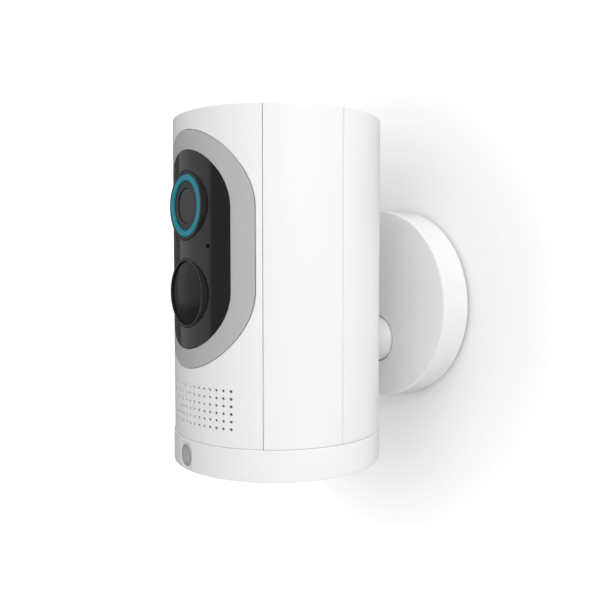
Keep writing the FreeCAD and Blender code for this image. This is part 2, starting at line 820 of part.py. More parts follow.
def sound():
    """Microphone with its rubber boot, and the speaker behind the grille."""
    reach = "mic_across + boot_radius"
    front = f"sqrt(shell_bore * shell_bore - ({reach}) * ({reach})) - 0.3"
    boot = turned(
        "mic_boot",
        [
            ("mic_radius", "can_back + 1.2"),
            ("boot_radius", "can_back + 1.2"),
            ("boot_radius", front),
            ("mic_radius", front),
        ],
        ("mic_across", "0", "mic_height"),
        OUTWARD,
    )
    node("mic_boot", boot, DRUM)
    node(
        "microphone",
        board(
            "microphone",
            "1.9",
            "can_back + 1.2",
            "can_back",
            "mic_height - 1.5",
            "mic_height + 1.5",
            "mic_across",
        ),
        DRUM,
    )
    low = "grille_low - 1.5"
    high = "grille_high + 1.5"
    half = "speaker_half"
    node("speaker", board("speaker", half, "speaker_front", "speaker_back", low, high), DRUM)
    pad = board("gasket_block", "pad_reach", "body_radius", "speaker_front + trim_fit", low, high)
    hollow = board("gasket_hollow", half, "body_radius + 5", "0", f"{low} + 1", f"{high} - 1")
    bore = cylinder("gasket_bore", "shell_bore - trim_fit", "body_height")
    node("speaker_gasket", cut("speaker_gasket", common("gasket_part", pad, bore), hollow), DRUM)


def chassis():
    """The inner sleeve with its screw bosses, the block for the mount's insert, and the seals."""
    sleeve = tube("sleeve_tube", "sleeve_radius", "sleeve_bore", "sleeve_low", "sleeve_high")
    bosses = group("screw_bosses", boss_shape())
    face_half = "max(window_half - 1; mic_across + boot_radius + 0.2)"
    face_opening = oblong("face_opening", face_half, "window_low + 1", "window_high - 1")
    sound_opening = board(
        "sound_opening",
        "speaker_half + 1.2",
        "body_radius + 5",
        "5",
        "grille_low - 1.7",
        "grille_high + 1.7",
    )
    block_radius = "insert_radius + 2.2"
    rear_opening = cylinder(
        "rear_opening",
        f"{block_radius} + trim_fit",
        "30",
        ("0", "5", "ball_height"),
        BACKWARD,
    )
    drills = group("boss_drills", bottom_screw_shape("screw_radius + trim_fit", "trim_fit"))
    body = fuse("sleeve_body", sleeve, bosses)
    node(
        "chassis_sleeve",
        cut("chassis_sleeve", body, face_opening, sound_opening, rear_opening, drills),
        DRUM,
    )
    block = turned(
        "block_blank",
        [
            ("insert_radius + trim_fit", "block_front"),
            (block_radius, "block_front"),
            (block_radius, "shell_bore + 1"),
            ("insert_radius + trim_fit", "shell_bore + 1"),
        ],
        ("0", "0", "ball_height"),
        BACKWARD,
    )
    bore = cylinder("block_bore", "shell_bore - trim_fit", "body_height")
    node("mount_block", common("mount_block", block, bore), DRUM)
    insert = turned(
        "threaded_insert",
        [
            ("stud_radius + running_fit", "shell_bore - 0.3 - insert_length"),
            ("insert_radius", "shell_bore - 0.3 - insert_length"),
            ("insert_radius", "shell_bore - 0.8"),
            ("stud_radius + running_fit", "shell_bore - 0.8"),
        ],
        ("0", "0", "ball_height"),
        BACKWARD,
    )
    node("threaded_insert", insert, DRUM)
    seals = {
        "seal_ring_bottom": ("cap_thickness + 0.3", "cap_thickness + 1.2"),
        "seal_ring_top": ("body_height - cap_thickness - 1.2", "body_height - cap_thickness"),
    }
    for name, (low, high) in seals.items():
        node(name, tube(name, "sleeve_bore - trim_fit", "sleeve_bore - 1.0", low, high), DRUM)


def boss_shape():
    """The bosses that the underside's screws go into."""
    circle = value("sleeve_bore - 2.6")
    low = value("cap_thickness + 1.3")
    high = value("port_board_low - 0.3")
    solids = []
    for index in range(BOTTOM_SCREWS):
        turn = Rotation(Vector(0, 0, 1), 45 + 360 / BOTTOM_SCREWS * index)
        solids.append(Part.makeCylinder(2.9, high - low, turn.multVec(Vector(circle, 0, low))))
    return Part.makeCompound(solids)


def inside(name, item):
    """A piece trimmed to the room inside the sleeve."""
    return common(name, item, cylinder(name + "_room", "inner_radius", "body_height"))


def electronics():
    """The main board with its shield, aerial, port board and what stands on that."""
    main = board(
        "main_block",
        "body_radius * 0.6",
        "main_board_front",
        "main_board_back",
        "port_board_high + 0.3",
        "window_high - 1",
    )
    node("main_board", inside("main_board", main), DRUM)
    node(
        "rf_shield",
        board("rf_shield", "9", "main_board_back", "shield_back", "pir_height - 6", "pir_height + 14"),
        DRUM,
    )
    node(
        "antenna",
        board(
            "antenna",
            "12",
            "main_board_front",
            "main_board_back",
            "window_high + 0.5",
            "body_height - cap_thickness - 1.5",
        ),
        DRUM,
    )
    port = box(
        "port_block",
        ("-body_radius * 0.57", "-max(power_back + 5; main_board_front + 3.8)", "port_board_low"),
        ("body_radius * 0.57", "flap_back + 4", "port_board_high"),
    )
    node("port_board", inside("port_board", port), DRUM)
    shell = box(
        "socket_shell",
        ("-4.2", "socket_back - 1.9", "flap_thickness + 0.8"),
        ("4.2", "socket_back + 1.9", "port_board_low"),
    )
    mouth = box(
        "socket_mouth",
        ("-3.7", "socket_back - 1.4", "0"),
        ("3.7", "socket_back + 1.4", "port_board_low - 0.8"),
    )
    tongue = box(
        "socket_tongue",
        ("-3.2", "socket_back - 0.4", "flap_thickness + 1.4"),
        ("3.2", "socket_back + 0.4", "port_board_low - 0.4"),
    )
    node("usb_socket", fuse("usb_socket", cut("socket_case", shell, mouth), tongue), DRUM)
    switches = {
        "power_switch": ("0", "-power_back", "cap_thickness + 1.3 + power_travel"),
        "reset_switch": ("reset_across", "socket_back", "cap_thickness + 1.2 + reset_travel"),
    }
    for name, (across, back, low) in switches.items():
        block = box(
            name,
            (f"{across} - 1.6", f"{back} - 1.6", low),
            (f"{across} + 1.6", f"{back} + 1.6", "port_board_low"),
        )
        node(name, block, DRUM)
    card = box(
        "card_block",
        ("-15", "-min(9; main_board_back - 0.4)", "port_board_high"),
        ("0", "5", "port_board_high + card_height"),
    )
    node("card_slot", inside("card_slot", card), DRUM)


def battery():
    """Two cells side by side, their contacts and the cradle that holds them."""
    sides = {"left": "-cell_across", "right": "cell_across"}
    for side, across in sides.items():
        cell = cylinder(
            f"battery_cell_{side}", "cell_radius", "cell_length", (across, "cell_back", "cell_bottom")
        )
        node(f"battery_cell_{side}", cell, DRUM)
    reach = "cell_across + cell_radius"
    bottom = "cell_bottom - cell_play"
    top = "cell_top + cell_play"
    rib = box(
        "cradle_rib",
        (f"-({reach})", "cell_back + cell_radius / 3", f"{bottom} - cradle_wall"),
        (reach, "cell_back + cell_radius", f"{top} + cradle_wall"),
    )
    ends = [
        box(
            f"cradle_{name}",
            (f"-({reach})", "cell_back - cell_radius + 1", low),
            (reach, "cell_back + cell_radius", f"{low} + cradle_wall"),
        )
        for name, low in (("floor", f"{bottom} - cradle_wall"), ("roof", top))
    ]
    rooms = [
        cylinder(
            f"cell_room_{side}",
            "cell_radius + 0.15",
            f"({top}) - ({bottom})",
            (across, "cell_back", bottom),
        )
        for side, across in sides.items()
    ]
    trough = cut("cradle_trough", fuse("cradle_body", rib, *ends), *rooms)
    node("battery_cradle", inside("battery_cradle", trough), DRUM)
    plates = []
    for side in (-1, 1):
        for low in (value(bottom), value("cell_top + 0.1")):
            at = Vector(side * value("cell_across"), value("cell_back"), low)
            plates.append(Part.makeCylinder(3.5, value("cell_play") - 0.1, at))
    node("battery_contacts", group("battery_contacts", Part.makeCompound(plates)), DRUM)


def wall_plate():
    """The cover, the bracket behind it and the socket for the ball."""
    cover = turned(
        "cover_cup",
        [
            ("0", "plate_depth - cover_wall"),
            ("disc_radius - cover_wall", "plate_depth - cover_wall"),
            ("disc_radius - cover_wall", "shadow_gap"),
            ("disc_radius", "shadow_gap"),
            ("disc_radius", "plate_depth - 0.6"),
            ("disc_radius - 0.6", "plate_depth"),
            ("0", "plate_depth"),
        ],
        turn=OUTWARD,
    )
    centre = ("0", "-ball_out", "-ball_drop")
    hole = sphere("cover_hole", "ball_radius + ball_lip_gap", centre)
    node("wall_cover", cut("wall_cover", cover, hole), PLATE)
    plate = cylinder("bracket_disc", "disc_radius - cover_wall - 0.15", "bracket_thickness", turn=OUTWARD)
    socket_hole = cylinder(
        "socket_hole", "socket_radius + 0.1", "20", ("0", "10", "-ball_drop"), OUTWARD
    )
    wall_holes = [
        cylinder(
            f"wall_hole_{side}",
            "wall_hole_radius",
            "20",
            (f"{sign}wall_hole_spacing / 2", "10", "wall_hole_rise"),
            OUTWARD,
        )
        for side, sign in (("left", "-"), ("right", ""))
    ]
    socket_drills = group("socket_drills", socket_screw_shape("trim_fit"))
    node("wall_bracket", cut("wall_bracket", plate, socket_hole, *wall_holes, socket_drills), PLATE)
    socket = turned(
        "socket_blank",
        [
            ("0", "shadow_gap"),
            ("socket_radius", "shadow_gap"),
            ("socket_radius", "bracket_thickness"),
            ("socket_radius + 3.8", "bracket_thickness"),
            ("socket_radius + 3.8", "bracket_thickness + 0.8"),
            ("socket_radius", "bracket_thickness + 0.8"),
            ("socket_radius", "plate_depth - cover_wall - 0.05"),
            ("0", "plate_depth - cover_wall - 0.05"),
        ],
        ("0", "0", "-ball_drop"),
        OUTWARD,
    )
    cavity = sphere("socket_cavity", "cavity_radius", centre)
    flange_drills = group("flange_drills", socket_screw_shape("trim_fit"))
    node("ball_socket", cut("ball_socket", socket, cavity, flange_drills), PLATE)
    node("socket_screws", group("socket_screws", socket_screw_shape("0")), PLATE)
    zone = cylinder(
        "friction_zone",
        "cavity_radius + 2",
        "ball_radius * 0.28",
        ("0", "-(ball_out - ball_radius * 0.67)", "-ball_drop"),
        OUTWARD,
    )
    outer = sphere("friction_outer", "friction_radius", centre)
    inner = sphere("friction_inner", "ball_radius + running_fit", centre)
    node("friction_ring", cut("friction_ring", common("friction_part", outer, zone), inner), PLATE)


def socket_screw_shape(spare):
    """The screws that hold the socket to the bracket, as one group."""
    spare = value(spare)
    circle = value("socket_radius + 1.9")
    face_out = value("bracket_thickness + 0.8")
    shank = 0.8 + spare
    solids = []
    for index in range(SOCKET_SCREWS):
        turn = Rotation(Vector(0, 1, 0), 360 / SOCKET_SCREWS * index)
        foot = turn.multVec(Vector(0, 0, circle)) + Vector(0, 0, -value("ball_drop"))
        stem = Part.makeCylinder(shank, face_out - 0.3, foot + Vector(0, -face_out, 0), Vector(0, 1, 0))
        head = Part.makeCylinder(1.6 + spare, 1.0, foot + Vector(0, -face_out, 0), Vector(0, -1, 0))
        solids.append(stem.fuse(head).removeSplitter())
    return Part.makeCompound(solids)


def ball_joint():
    """The white ball with its neck, and the steel stud that runs through it into the drum."""
    centre = ("0", "-ball_out", "-ball_drop")
    ball = sphere("ball_blank", "ball_radius", centre)
    neck = cylinder("ball_neck", "neck_radius", "rear_out - ball_out", centre, OUTWARD)
    collar = cylinder(
        "ball_collar", "neck_radius + 1", "1.4", ("0", "-(seat_out - 1.6)", "-ball_drop"), OUTWARD
    )
    stud_back = "ball_out - ball_radius / 3"
    bore = cylinder(
        "ball_bore", "stud_radius + 0.02", "60", ("0", f"-({stud_back})", "-ball_drop"), OUTWARD
    )
    node("mount_ball", cut("mount_ball", fuse("ball_and_neck", ball, neck, collar), bore), PLATE)
    stud = cylinder(
        "mount_stud",
        "stud_radius",
        f"rear_out + shell_wall + insert_length - 1 - ({stud_back})",
        ("0", f"-({stud_back})", "-ball_drop"),
        OUTWARD,
    )
    node("mount_stud", stud, PLATE)


def check(items):
    """Stops if any object failed to compute, or a finished piece has no sound solid."""
    for item in doc.Objects:
        if {"Invalid", "Error"} & set(item.State):
            raise RuntimeError(f"{item.Name} failed: {item.State}")
    for item in items:
        shape = item.Shape
        if shape.isNull() or not shape.isValid() or not shape.Solids:
            raise RuntimeError(f"{item.Label} has no sound solid")


shells()
caps_and_band()
underside()
face()
lens()
motion_sensor()
sound()
chassis()
electronics()
battery()
wall_plate()
ball_joint()
doc.recompute()
check(NODES)

os.makedirs("parts", exist_ok=True)
for piece in NODES:
    piece.Shape.exportStep(f"parts/{piece.Label}.step")
print(len(NODES), "pieces,", sum(len(piece.Shape.Solids) for piece in NODES), "solids")
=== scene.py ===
import logging
import math
from abc import ABC, abstractmethod
from collections.abc import Iterable, Sequence
from dataclasses import dataclass
from enum import Enum

import bpy
import numpy as np
from mathutils import Matrix, Vector
from mathutils.geometry import delaunay_2d_cdt


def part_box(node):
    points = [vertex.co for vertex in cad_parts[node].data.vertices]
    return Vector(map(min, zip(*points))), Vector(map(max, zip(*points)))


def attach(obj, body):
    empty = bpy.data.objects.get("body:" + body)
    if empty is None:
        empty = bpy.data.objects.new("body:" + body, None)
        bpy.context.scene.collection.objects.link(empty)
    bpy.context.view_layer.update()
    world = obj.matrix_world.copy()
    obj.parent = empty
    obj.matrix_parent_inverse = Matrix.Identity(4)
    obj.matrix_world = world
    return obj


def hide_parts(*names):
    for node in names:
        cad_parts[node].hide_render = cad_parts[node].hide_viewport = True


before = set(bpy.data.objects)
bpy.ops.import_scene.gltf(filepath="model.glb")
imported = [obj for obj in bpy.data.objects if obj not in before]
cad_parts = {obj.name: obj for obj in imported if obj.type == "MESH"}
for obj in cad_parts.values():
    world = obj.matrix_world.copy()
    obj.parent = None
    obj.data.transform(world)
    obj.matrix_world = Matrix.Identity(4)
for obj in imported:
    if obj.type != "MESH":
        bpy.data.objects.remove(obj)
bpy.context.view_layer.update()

MM = 0.001
X, Y, Z = Vector((1, 0, 0)), Vector((0, 1, 0)), Vector((0, 0, 1))
log = logging.getLogger("wall_camera")

Corner = tuple[float, float, float]
Point2 = tuple[float, float]

# Millimetres between the points inside a piece's faces, across and up.
FACE_STEP: Point2 = (1.6, 3.2)
# The most that one step of a rounded edge turns.
ARC_STEP = math.radians(23)


# ---- finishes


class Grain(Enum):
    """How a surface's fine relief lies."""

    EVEN = "even"
    BRUSHED = "brushed"
    WOVEN = "woven"


def linear(colour: str) -> tuple[float, float, float, float]:
    """Turns an sRGB hex colour into linear values.

    Args:
        colour: six hex digits.

    Returns:
        Red, green, blue and an alpha of 1.
    """
    parts = [int(colour[start : start + 2], 16) / 255 for start in (0, 2, 4)]
    red, green, blue = (p / 12.92 if p <= 0.04045 else ((p + 0.055) / 1.055) ** 2.4 for p in parts)
    return red, green, blue, 1.0


def add_node(
    tree: bpy.types.NodeTree,
    kind: str,
    settings: dict[str, object] | None = None,
    links: dict[str | int, bpy.types.NodeSocket] | None = None,
) -> bpy.types.Node:
    """Adds one shader node.

    Args:
        tree: the node tree.
        kind: the node's type, without its ShaderNode prefix.
        settings: values by input name, or by attribute name where no input has it.
        links: sockets to join to the node's inputs, by name or number.

    Returns:
        The new node.
    """
    node = tree.nodes.new(f"ShaderNode{kind}")
    for name, value in (settings or {}).items():
        if name in node.inputs:
            node.inputs[name].default_value = value
        else:
            setattr(node, name, value)
    for name, socket in (links or {}).items():
        tree.links.new(socket, node.inputs[name])
    return node


@dataclass(frozen=True)
class Finish:
    """A real material with the surface that its making gives it.

    The colour drifts between two close tones over patches of a real size, the gloss drifts with
    it, and a fine relief of a real grain size bends the light.
    """

    name: str
    colour: str
    second: str
    roughness: float
    grain_mm: float
    grain_depth_mm: float
    patch_mm: float = 14.0
    gloss_spread: float = 0.06
    grain: Grain = Grain.EVEN
    metallic: float = 0.0
    ior: float = 1.5
    coat: float = 0.0
    transmission: float = 0.0
    subsurface: float = 0.0
    glow: float = 0.0

    def material(self) -> bpy.types.Material:
        """Makes the material once.

        Returns:
            The material, new or already made.
        """
        made = bpy.data.materials.get(self.name)
        if made:
            return made
        made = bpy.data.materials.new(self.name)
        made.use_nodes = True
        made.diffuse_color = linear(self.colour)
        tree = made.node_tree
        tree.nodes.clear()
        place = add_node(tree, "TexCoord").outputs["Object"]
        scale = 1 / (self.patch_mm * MM)
        patches = add_node(
            tree, "TexNoise", {"Scale": scale, "Detail": 3.0, "Roughness": 0.55}, {"Vector": place}
        ).outputs["Fac"]
        tone = add_node(tree, "Mix", {"data_type": "RGBA"}, {0: patches})
        tone.inputs[6].default_value = linear(self.colour)
        tone.inputs[7].default_value = linear(self.second)
        dull = self.roughness + self.gloss_spread
        shiny = max(0.02, self.roughness - self.gloss_spread)
        gloss = add_node(
            tree, "MapRange", {"From Min": 0.3, "From Max": 0.7, "To Min": shiny, "To Max": dull},
            {"Value": patches},
        )
        bump = add_node(
            tree, "Bump", {"Strength": 1.0, "Distance": self.grain_depth_mm * MM},
            {"Height": self._relief(tree, place)},
        )
        settings = {
            "Metallic": self.metallic,
            "IOR": self.ior,
            "Coat Weight": self.coat,
            "Coat Roughness": 0.03,
            "Transmission Weight": self.transmission,
            "Subsurface Weight": self.subsurface,
            "Subsurface Radius": (1.0, 0.95, 0.9),
            "Subsurface Scale": 1.2 * MM,
            "Emission Color": linear(self.colour),
            "Emission Strength": self.glow,
        }
        shader = add_node(tree, "BsdfPrincipled", settings, {
            "Base Color": tone.outputs[2],
            "Roughness": gloss.outputs["Result"],
            "Normal": bump.outputs["Normal"],
        })
        add_node(tree, "OutputMaterial", links={"Surface": shader.outputs["BSDF"]})
        return made

    def _relief(
        self, tree: bpy.types.NodeTree, place: bpy.types.NodeSocket
    ) -> bpy.types.NodeSocket:
        """Adds the height of the fine relief.

        Args:
            tree: the material's node tree.
            place: the socket that gives the place on the piece.

        Returns:
            The socket that gives the height.
        """
        scale = 1 / (self.grain_mm * MM)
        if self.grain is Grain.WOVEN:
            weave = {"distance": "CHEBYCHEV", "Scale": scale, "Randomness": 0.15}
            return add_node(tree, "TexVoronoi", weave, {"Vector": place}).outputs["Distance"]
        along = 0.06 if self.grain is Grain.BRUSHED else 1.0
        mapped = add_node(tree, "Mapping", {"Scale": (1.0, 1.0, along)}, {"Vector": place})
        return add_node(
            tree, "TexNoise", {"Scale": scale, "Detail": 2.0, "Roughness": 0.6},
            {"Vector": mapped.outputs["Vector"]},
        ).outputs["Fac"]


# White ABS from a spark-eroded mould: an even matt skin whose grain, really about 0.05 mm, is
# drawn at 0.3 mm so that it still breaks up the light.
WHITE_ABS = Finish("white_abs_spark_eroded", "F3F3F3", "EFEFEF", 0.42, 0.3, 0.006, 22)
# The same resin pigmented grey, with a flatter, drier surface.
GREY_ABS = Finish("grey_abs_matt_moulded", "BDBDBE", "B6B6B7", 0.55, 0.35, 0.008, 18)
# Polycarbonate that infrared passes through, from a polished mould: a black, glassy gloss with
# the very slight waviness of a moulded pane.
BLACK_WINDOW = Finish(
    "black_polycarbonate_polished", "1E1E20", "212124", 0.14, 3.0, 0.002, 10, 0.03, ior=1.58,
    coat=0.5,
)
# Black ABS with a satin mould face: soft-edged highlights on the rings round the lens and dome.
BLACK_ABS = Finish("black_abs_satin_moulded", "252527", "2A2A2D", 0.3, 0.4, 0.003, 9, ior=1.53)
# Teal acrylic light guide, frosted inside, with a slight painted glow so that it looks lit from
# within.
TEAL_ACRYLIC = Finish(
    "teal_acrylic_light_guide", "147D8F", "1C879A", 0.34, 0.5, 0.003, 5, 0.05, ior=1.42,
    subsurface=0.2, glow=0.16,
)
# Dark polyethylene dome: waxy gloss, softened by the ribs of the lens moulded inside it.
DARK_POLYETHYLENE = Finish(
    "dark_polyethylene_dome", "19191B", "1D1D1F", 0.18, 1.1, 0.004, 6, 0.04, ior=1.43
)
# Smoked glass over the lens: dark and half clear, with a soft sheen.
COVER_GLASS = Finish(
    "smoked_cover_glass", "3A3B3E", "414246", 0.16, 2.0, 0.0008, 8, 0.03, ior=1.52,
    transmission=0.45,
)
# Glass elements with a vacuum coating: near black, with a blue and violet bloom.
COATED_GLASS = Finish(
    "coated_optical_glass", "1B2430", "2A1D38", 0.05, 2.0, 0.0005, 2.2, 0.02, ior=1.7, coat=0.8
)
# Acetal ball, turned and tumbled: a silkier white than the shells.
WHITE_ACETAL = Finish("white_acetal_tumbled", "EDEDEC", "E6E6E5", 0.3, 0.45, 0.003, 9, ior=1.48)
# Silicone rubber moulded against a fine blast: dull, with no clear highlight.
GREY_SILICONE = Finish("grey_silicone_moulded", "A6A6A5", "9C9C9B", 0.62, 0.25, 0.01, 6, ior=1.43)
# Moulded nitrile rubber: black and dry, with a dusty grain.
BLACK_RUBBER = Finish("black_nitrile_rubber", "1B1B1B", "242424", 0.7, 0.3, 0.012, 5, ior=1.52)
# Grey polyester acoustic cloth with threads 0.25 mm apart: no shine, and a fine even weave. It
# stands for the speaker's cloth, and set just inside each grille hole it is also painted shade that
# darkens the holes.
HOLE_SHADE_CLOTH = Finish(
    "polyester_cloth_hole_shade_woven", "6E6E70", "626264", 0.85, 0.25, 0.02, 3, 0.05, Grain.WOVEN
)
# Dark ABS for parts inside, from a plain mould: charcoal, with a broad soft highlight.
DARK_ABS = Finish("dark_abs_moulded", "3B3B3D", "333335", 0.5, 0.35, 0.008, 12)
# Grey ABS pressed with a hot smooth die: a little glossier than the frame.
BADGE_ABS = Finish("grey_abs_hot_stamped", "A0A1A3", "ABACAE", 0.36, 0.3, 0.004, 3)
# Zinc-plated pressed steel: dull with its passivation, and drawn along the sheet.
ZINC_STEEL = Finish(
    "steel_zinc_plated", "BFC2C6", "ACB0B5", 0.48, 0.35, 0.004, 7, 0.1, Grain.BRUSHED, 0.75
)
# Turned brass: warm yellow, with the fine lines of the tool.
BRASS = Finish("brass_turned", "C29A4B", "B08A3E", 0.25, 0.2, 0.004, 3, 0.08, Grain.BRUSHED, 1.0)
# Solder mask over woven glass cloth with threads 0.5 mm apart: green lacquer on a faint weave.
GREEN_BOARD = Finish(
    "epoxy_glass_board_green_mask", "1E5A38", "184D30", 0.35, 0.5, 0.01, 6, 0.05, Grain.WOVEN,
    coat=0.4,
)
# PVC sleeve shrunk round a cell: glossy blue film with slight ripples.
BLUE_WRAP = Finish("pvc_shrink_wrap_blue", "2C69A3", "245E97", 0.28, 2.5, 0.02, 15, coat=0.3)


# ---- surfaces


class Surface(ABC):
    """A face that outlines are laid on, with places across, up and depth in millimetres."""

    @abstractmethod
    def axes(self, across: float) -> tuple[Vector, Vector, Vector]:
        """Returns the right, up and outward directions there."""

    @abstractmethod
    def point(self, across: float, up: float, depth: float) -> Vector:
        """Returns the point in the row frame, in millimetres."""


@dataclass(frozen=True)
class Flat(Surface):
    """A plane through a point, given by its right and up directions."""

    origin: Vector
    right: Vector
    up: Vector

    def axes(self, across: float) -> tuple[Vector, Vector, Vector]:
        """Returns the same three directions everywhere."""
        return self.right, self.up, self.right.cross(self.up)

    def point(self, across: float, up: float, depth: float) -> Vector:
        """Returns the point in the row frame, in millimetres."""
        out = self.right.cross(self.up)
        return self.origin + self.right * across + self.up * up - out * depth


class Across(Enum):
    """What a place across a drum means."""

    CHORD = "chord"
    ARC = "arc"


@dataclass(frozen=True)
class Drum(Surface):
    """The outside of an upright drum. Across is measured from the azimuth that it faces."""

    axis: Vector
    radius: float
    unit: Across = Across.CHORD
    facing_deg: float = 0.0

    def axes(self, across: float) -> tuple[Vector, Vector, Vector]:
        """Returns the right, up and outward directions there.

        Args:
            across: the place, along the chord or the arc as the drum's unit says.

        Returns:
            Three unit vectors.
        """
        turn = across / self.radius
        if self.unit is Across.CHORD:
            turn = math.asin(max(-1.0, min(1.0, turn)))
        turn += math.radians(self.facing_deg)
        right = Vector((math.cos(turn), math.sin(turn), 0))
        return right, Z, Vector((math.sin(turn), -math.cos(turn), 0))

    def point(self, across: float, up: float, depth: float) -> Vector:
        """Returns the point in the row frame, in millimetres."""
        out = self.axes(across)[2]
        return self.axis + out * (self.radius - depth) + Vector((0, 0, up))


# ---- outlines


@dataclass(frozen=True)
class Loop:
    """A closed outline with the direction away from the material at each point.

    Growth widens a rounded edge where it is above 1.
    """

    points: np.ndarray
    away: np.ndarray
    growth: np.ndarray

    def moved(self, across: float) -> np.ndarray:
        """Returns the outline moved away from the material by a distance."""
        grown = self.growth[:, None] if across < 0 else 1.0
        return self.points + self.away * (across * grown)


def outline(
    points: Sequence[Point2], hole: bool = False, step: float = 0.0, top_growth: float = 1.0
) -> Loop:
    """Makes a loop from points that run anticlockwise.

    Args:
        points: the corners and curve points.
        hole: True if the material lies outside the loop.
        step: the longest run left undivided, or 0 to leave runs as they are.
        top_growth: how much wider the edge rounding is where the outline faces up.

    Returns:
        The loop, clockwise if it is a hole.
    """
    ring = np.array(points, float)
    if hole:
        ring = ring[::-1]
    if step:
        runs = []
        for start, end in zip(ring, np.roll(ring, -1, axis=0)):
            parts = max(1, math.ceil(np.linalg.norm(end - start) / step))
            runs.extend(start + (end - start) * part / parts for part in range(parts))
        ring = np.array(runs)
    ahead = np.roll(ring, -1, axis=0) - ring
    ahead /= np.linalg.norm(ahead, axis=1, keepdims=True)
    tangent = ahead + np.roll(ahead, 1, axis=0)
    tangent /= np.linalg.norm(tangent, axis=1, keepdims=True)
    away = np.stack([tangent[:, 1], -tangent[:, 0]], axis=1)
    cosine = np.clip((tangent * ahead).sum(axis=1, keepdims=True), 0.5, 1.0)
    growth = 1 + (top_growth - 1) * np.clip(away[:, 1], 0, 1) ** 2
    return Loop(ring, away / cosine, growth)


def circle(radius: float, across: float = 0.0, up: float = 0.0, count: int = 96) -> list[Point2]:
    """Returns the points of a circle, anticlockwise."""
    turns = (2 * math.pi * index / count for index in range(count))
    return [(across + radius * math.cos(turn), up + radius * math.sin(turn)) for turn in turns]


def oblong(half_width: float, low: float, high: float, count: int = 64) -> list[Point2]:
    """Returns the points of an upright oblong with round ends, anticlockwise.

    Args:
        half_width: half the width, and the radius of the ends.
        low: the lowest point's height.
        high: the highest point's height.
        count: points on each round end.

    Returns:
        The points.
    """
    ends = ((high - half_width, 0.0), (low + half_width, math.pi))
    return [
        (half_width * math.cos(start + turn), centre + half_width * math.sin(start + turn))
        for centre, start in ends
        for turn in (math.pi * index / count for index in range(count + 1))
    ]


def rectangle(left: float, right: float, low: float, high: float, radius: float) -> list[Point2]:
    """Returns the points of a rectangle with rounded corners, anticlockwise.

    Args:
        left: the left edge.
        right: the right edge.
        low: the lower edge.
        high: the upper edge.
        radius: the radius of the corners.

    Returns:
        The points.
    """
    corners = ((right, high, 0), (left, high, 90), (left, low, 180), (right, low, 270))
    points = []
    for across, up, start in corners:
        across -= math.copysign(radius, across - (left + right) / 2)
        up -= math.copysign(radius, up - (low + high) / 2)
        for turn in (math.radians(start + 22.5 * index) for index in range(5)):
            points.append((across + radius * math.cos(turn), up + radius * math.sin(turn)))
    return points


Holes = Sequence[tuple[Loop, Sequence[Corner]]]


@dataclass(frozen=True)
class Station:
    """One point of an edge's section, with the surface direction before it and after it."""

    away: float
    depth: float
    before: Vector
    after: Vector


def section(corners: Sequence[Corner], closed: bool = False) -> list[Station]:
    """Rounds the corners of an edge's section.

    Args:
        corners: distance away from the loop, depth, and fillet radius of each corner, in the
            order front, side, back.
        closed: True for a ring's whole section.

    Returns:
        The stations to sweep along a loop.
    """
    places = [Vector((away, -depth)) for away, depth, _ in corners]
    count = len(places)
    runs = [
        (places[(index + 1) % count] - places[index]).normalized()
        for index in range(count if closed else count - 1)
    ]
    stations = []
    for index, (place, (_, _, fillet)) in enumerate(zip(places, corners)):
        first = runs[index - 1] if closed or index else runs[0]
        last = runs[index] if closed or index < count - 1 else runs[-1]
        before, after = Vector((-first.y, first.x)), Vector((-last.y, last.x))
        turn = math.atan2(first.x * last.y - first.y * last.x, first.dot(last))
        if not fillet or abs(turn) < 1e-6:
            stations.append(Station(place.x, -place.y, before, after))
            continue
        start = place - first * fillet * math.tan(abs(turn) / 2)
        centre = start + before * math.copysign(fillet, turn)
        parts = max(2, math.ceil(abs(turn) / ARC_STEP))
        for part in range(parts + 1):
            swing = Matrix.Rotation(turn * part / parts, 2)
            spot = centre + swing @ (start - centre)
            way = swing @ before
            stations.append(Station(spot.x, -spot.y, way, way))
    return stations


def within(points: np.ndarray, loops: Iterable[np.ndarray]) -> np.ndarray:
    """Tells which points lie inside an odd number of loops.

    Args:
        points: the points, one a row.
        loops: the loops, each a row of points.

    Returns:
        True or False for each point.
    """
    odd = np.zeros(len(points), bool)
    across, up = points[:, :1], points[:, 1:]
    for start in loops:
        end = np.roll(start, -1, axis=0)
        spans = (start[:, 1] > up) != (end[:, 1] > up)
        rise = np.where(end[:, 1] == start[:, 1], 1e-12, end[:, 1] - start[:, 1])
        crossing = (end[:, 0] - start[:, 0]) * (up - start[:, 1]) / rise + start[:, 0]
        odd ^= ((spans & (across < crossing)).sum(axis=1) % 2).astype(bool)
    return odd


# ---- solids


@dataclass(frozen=True)
class Ring:
    """One row of a swept edge: its vertex numbers and where they lie on the surface."""

    numbers: list[int]
    flat: np.ndarray
    depth: float


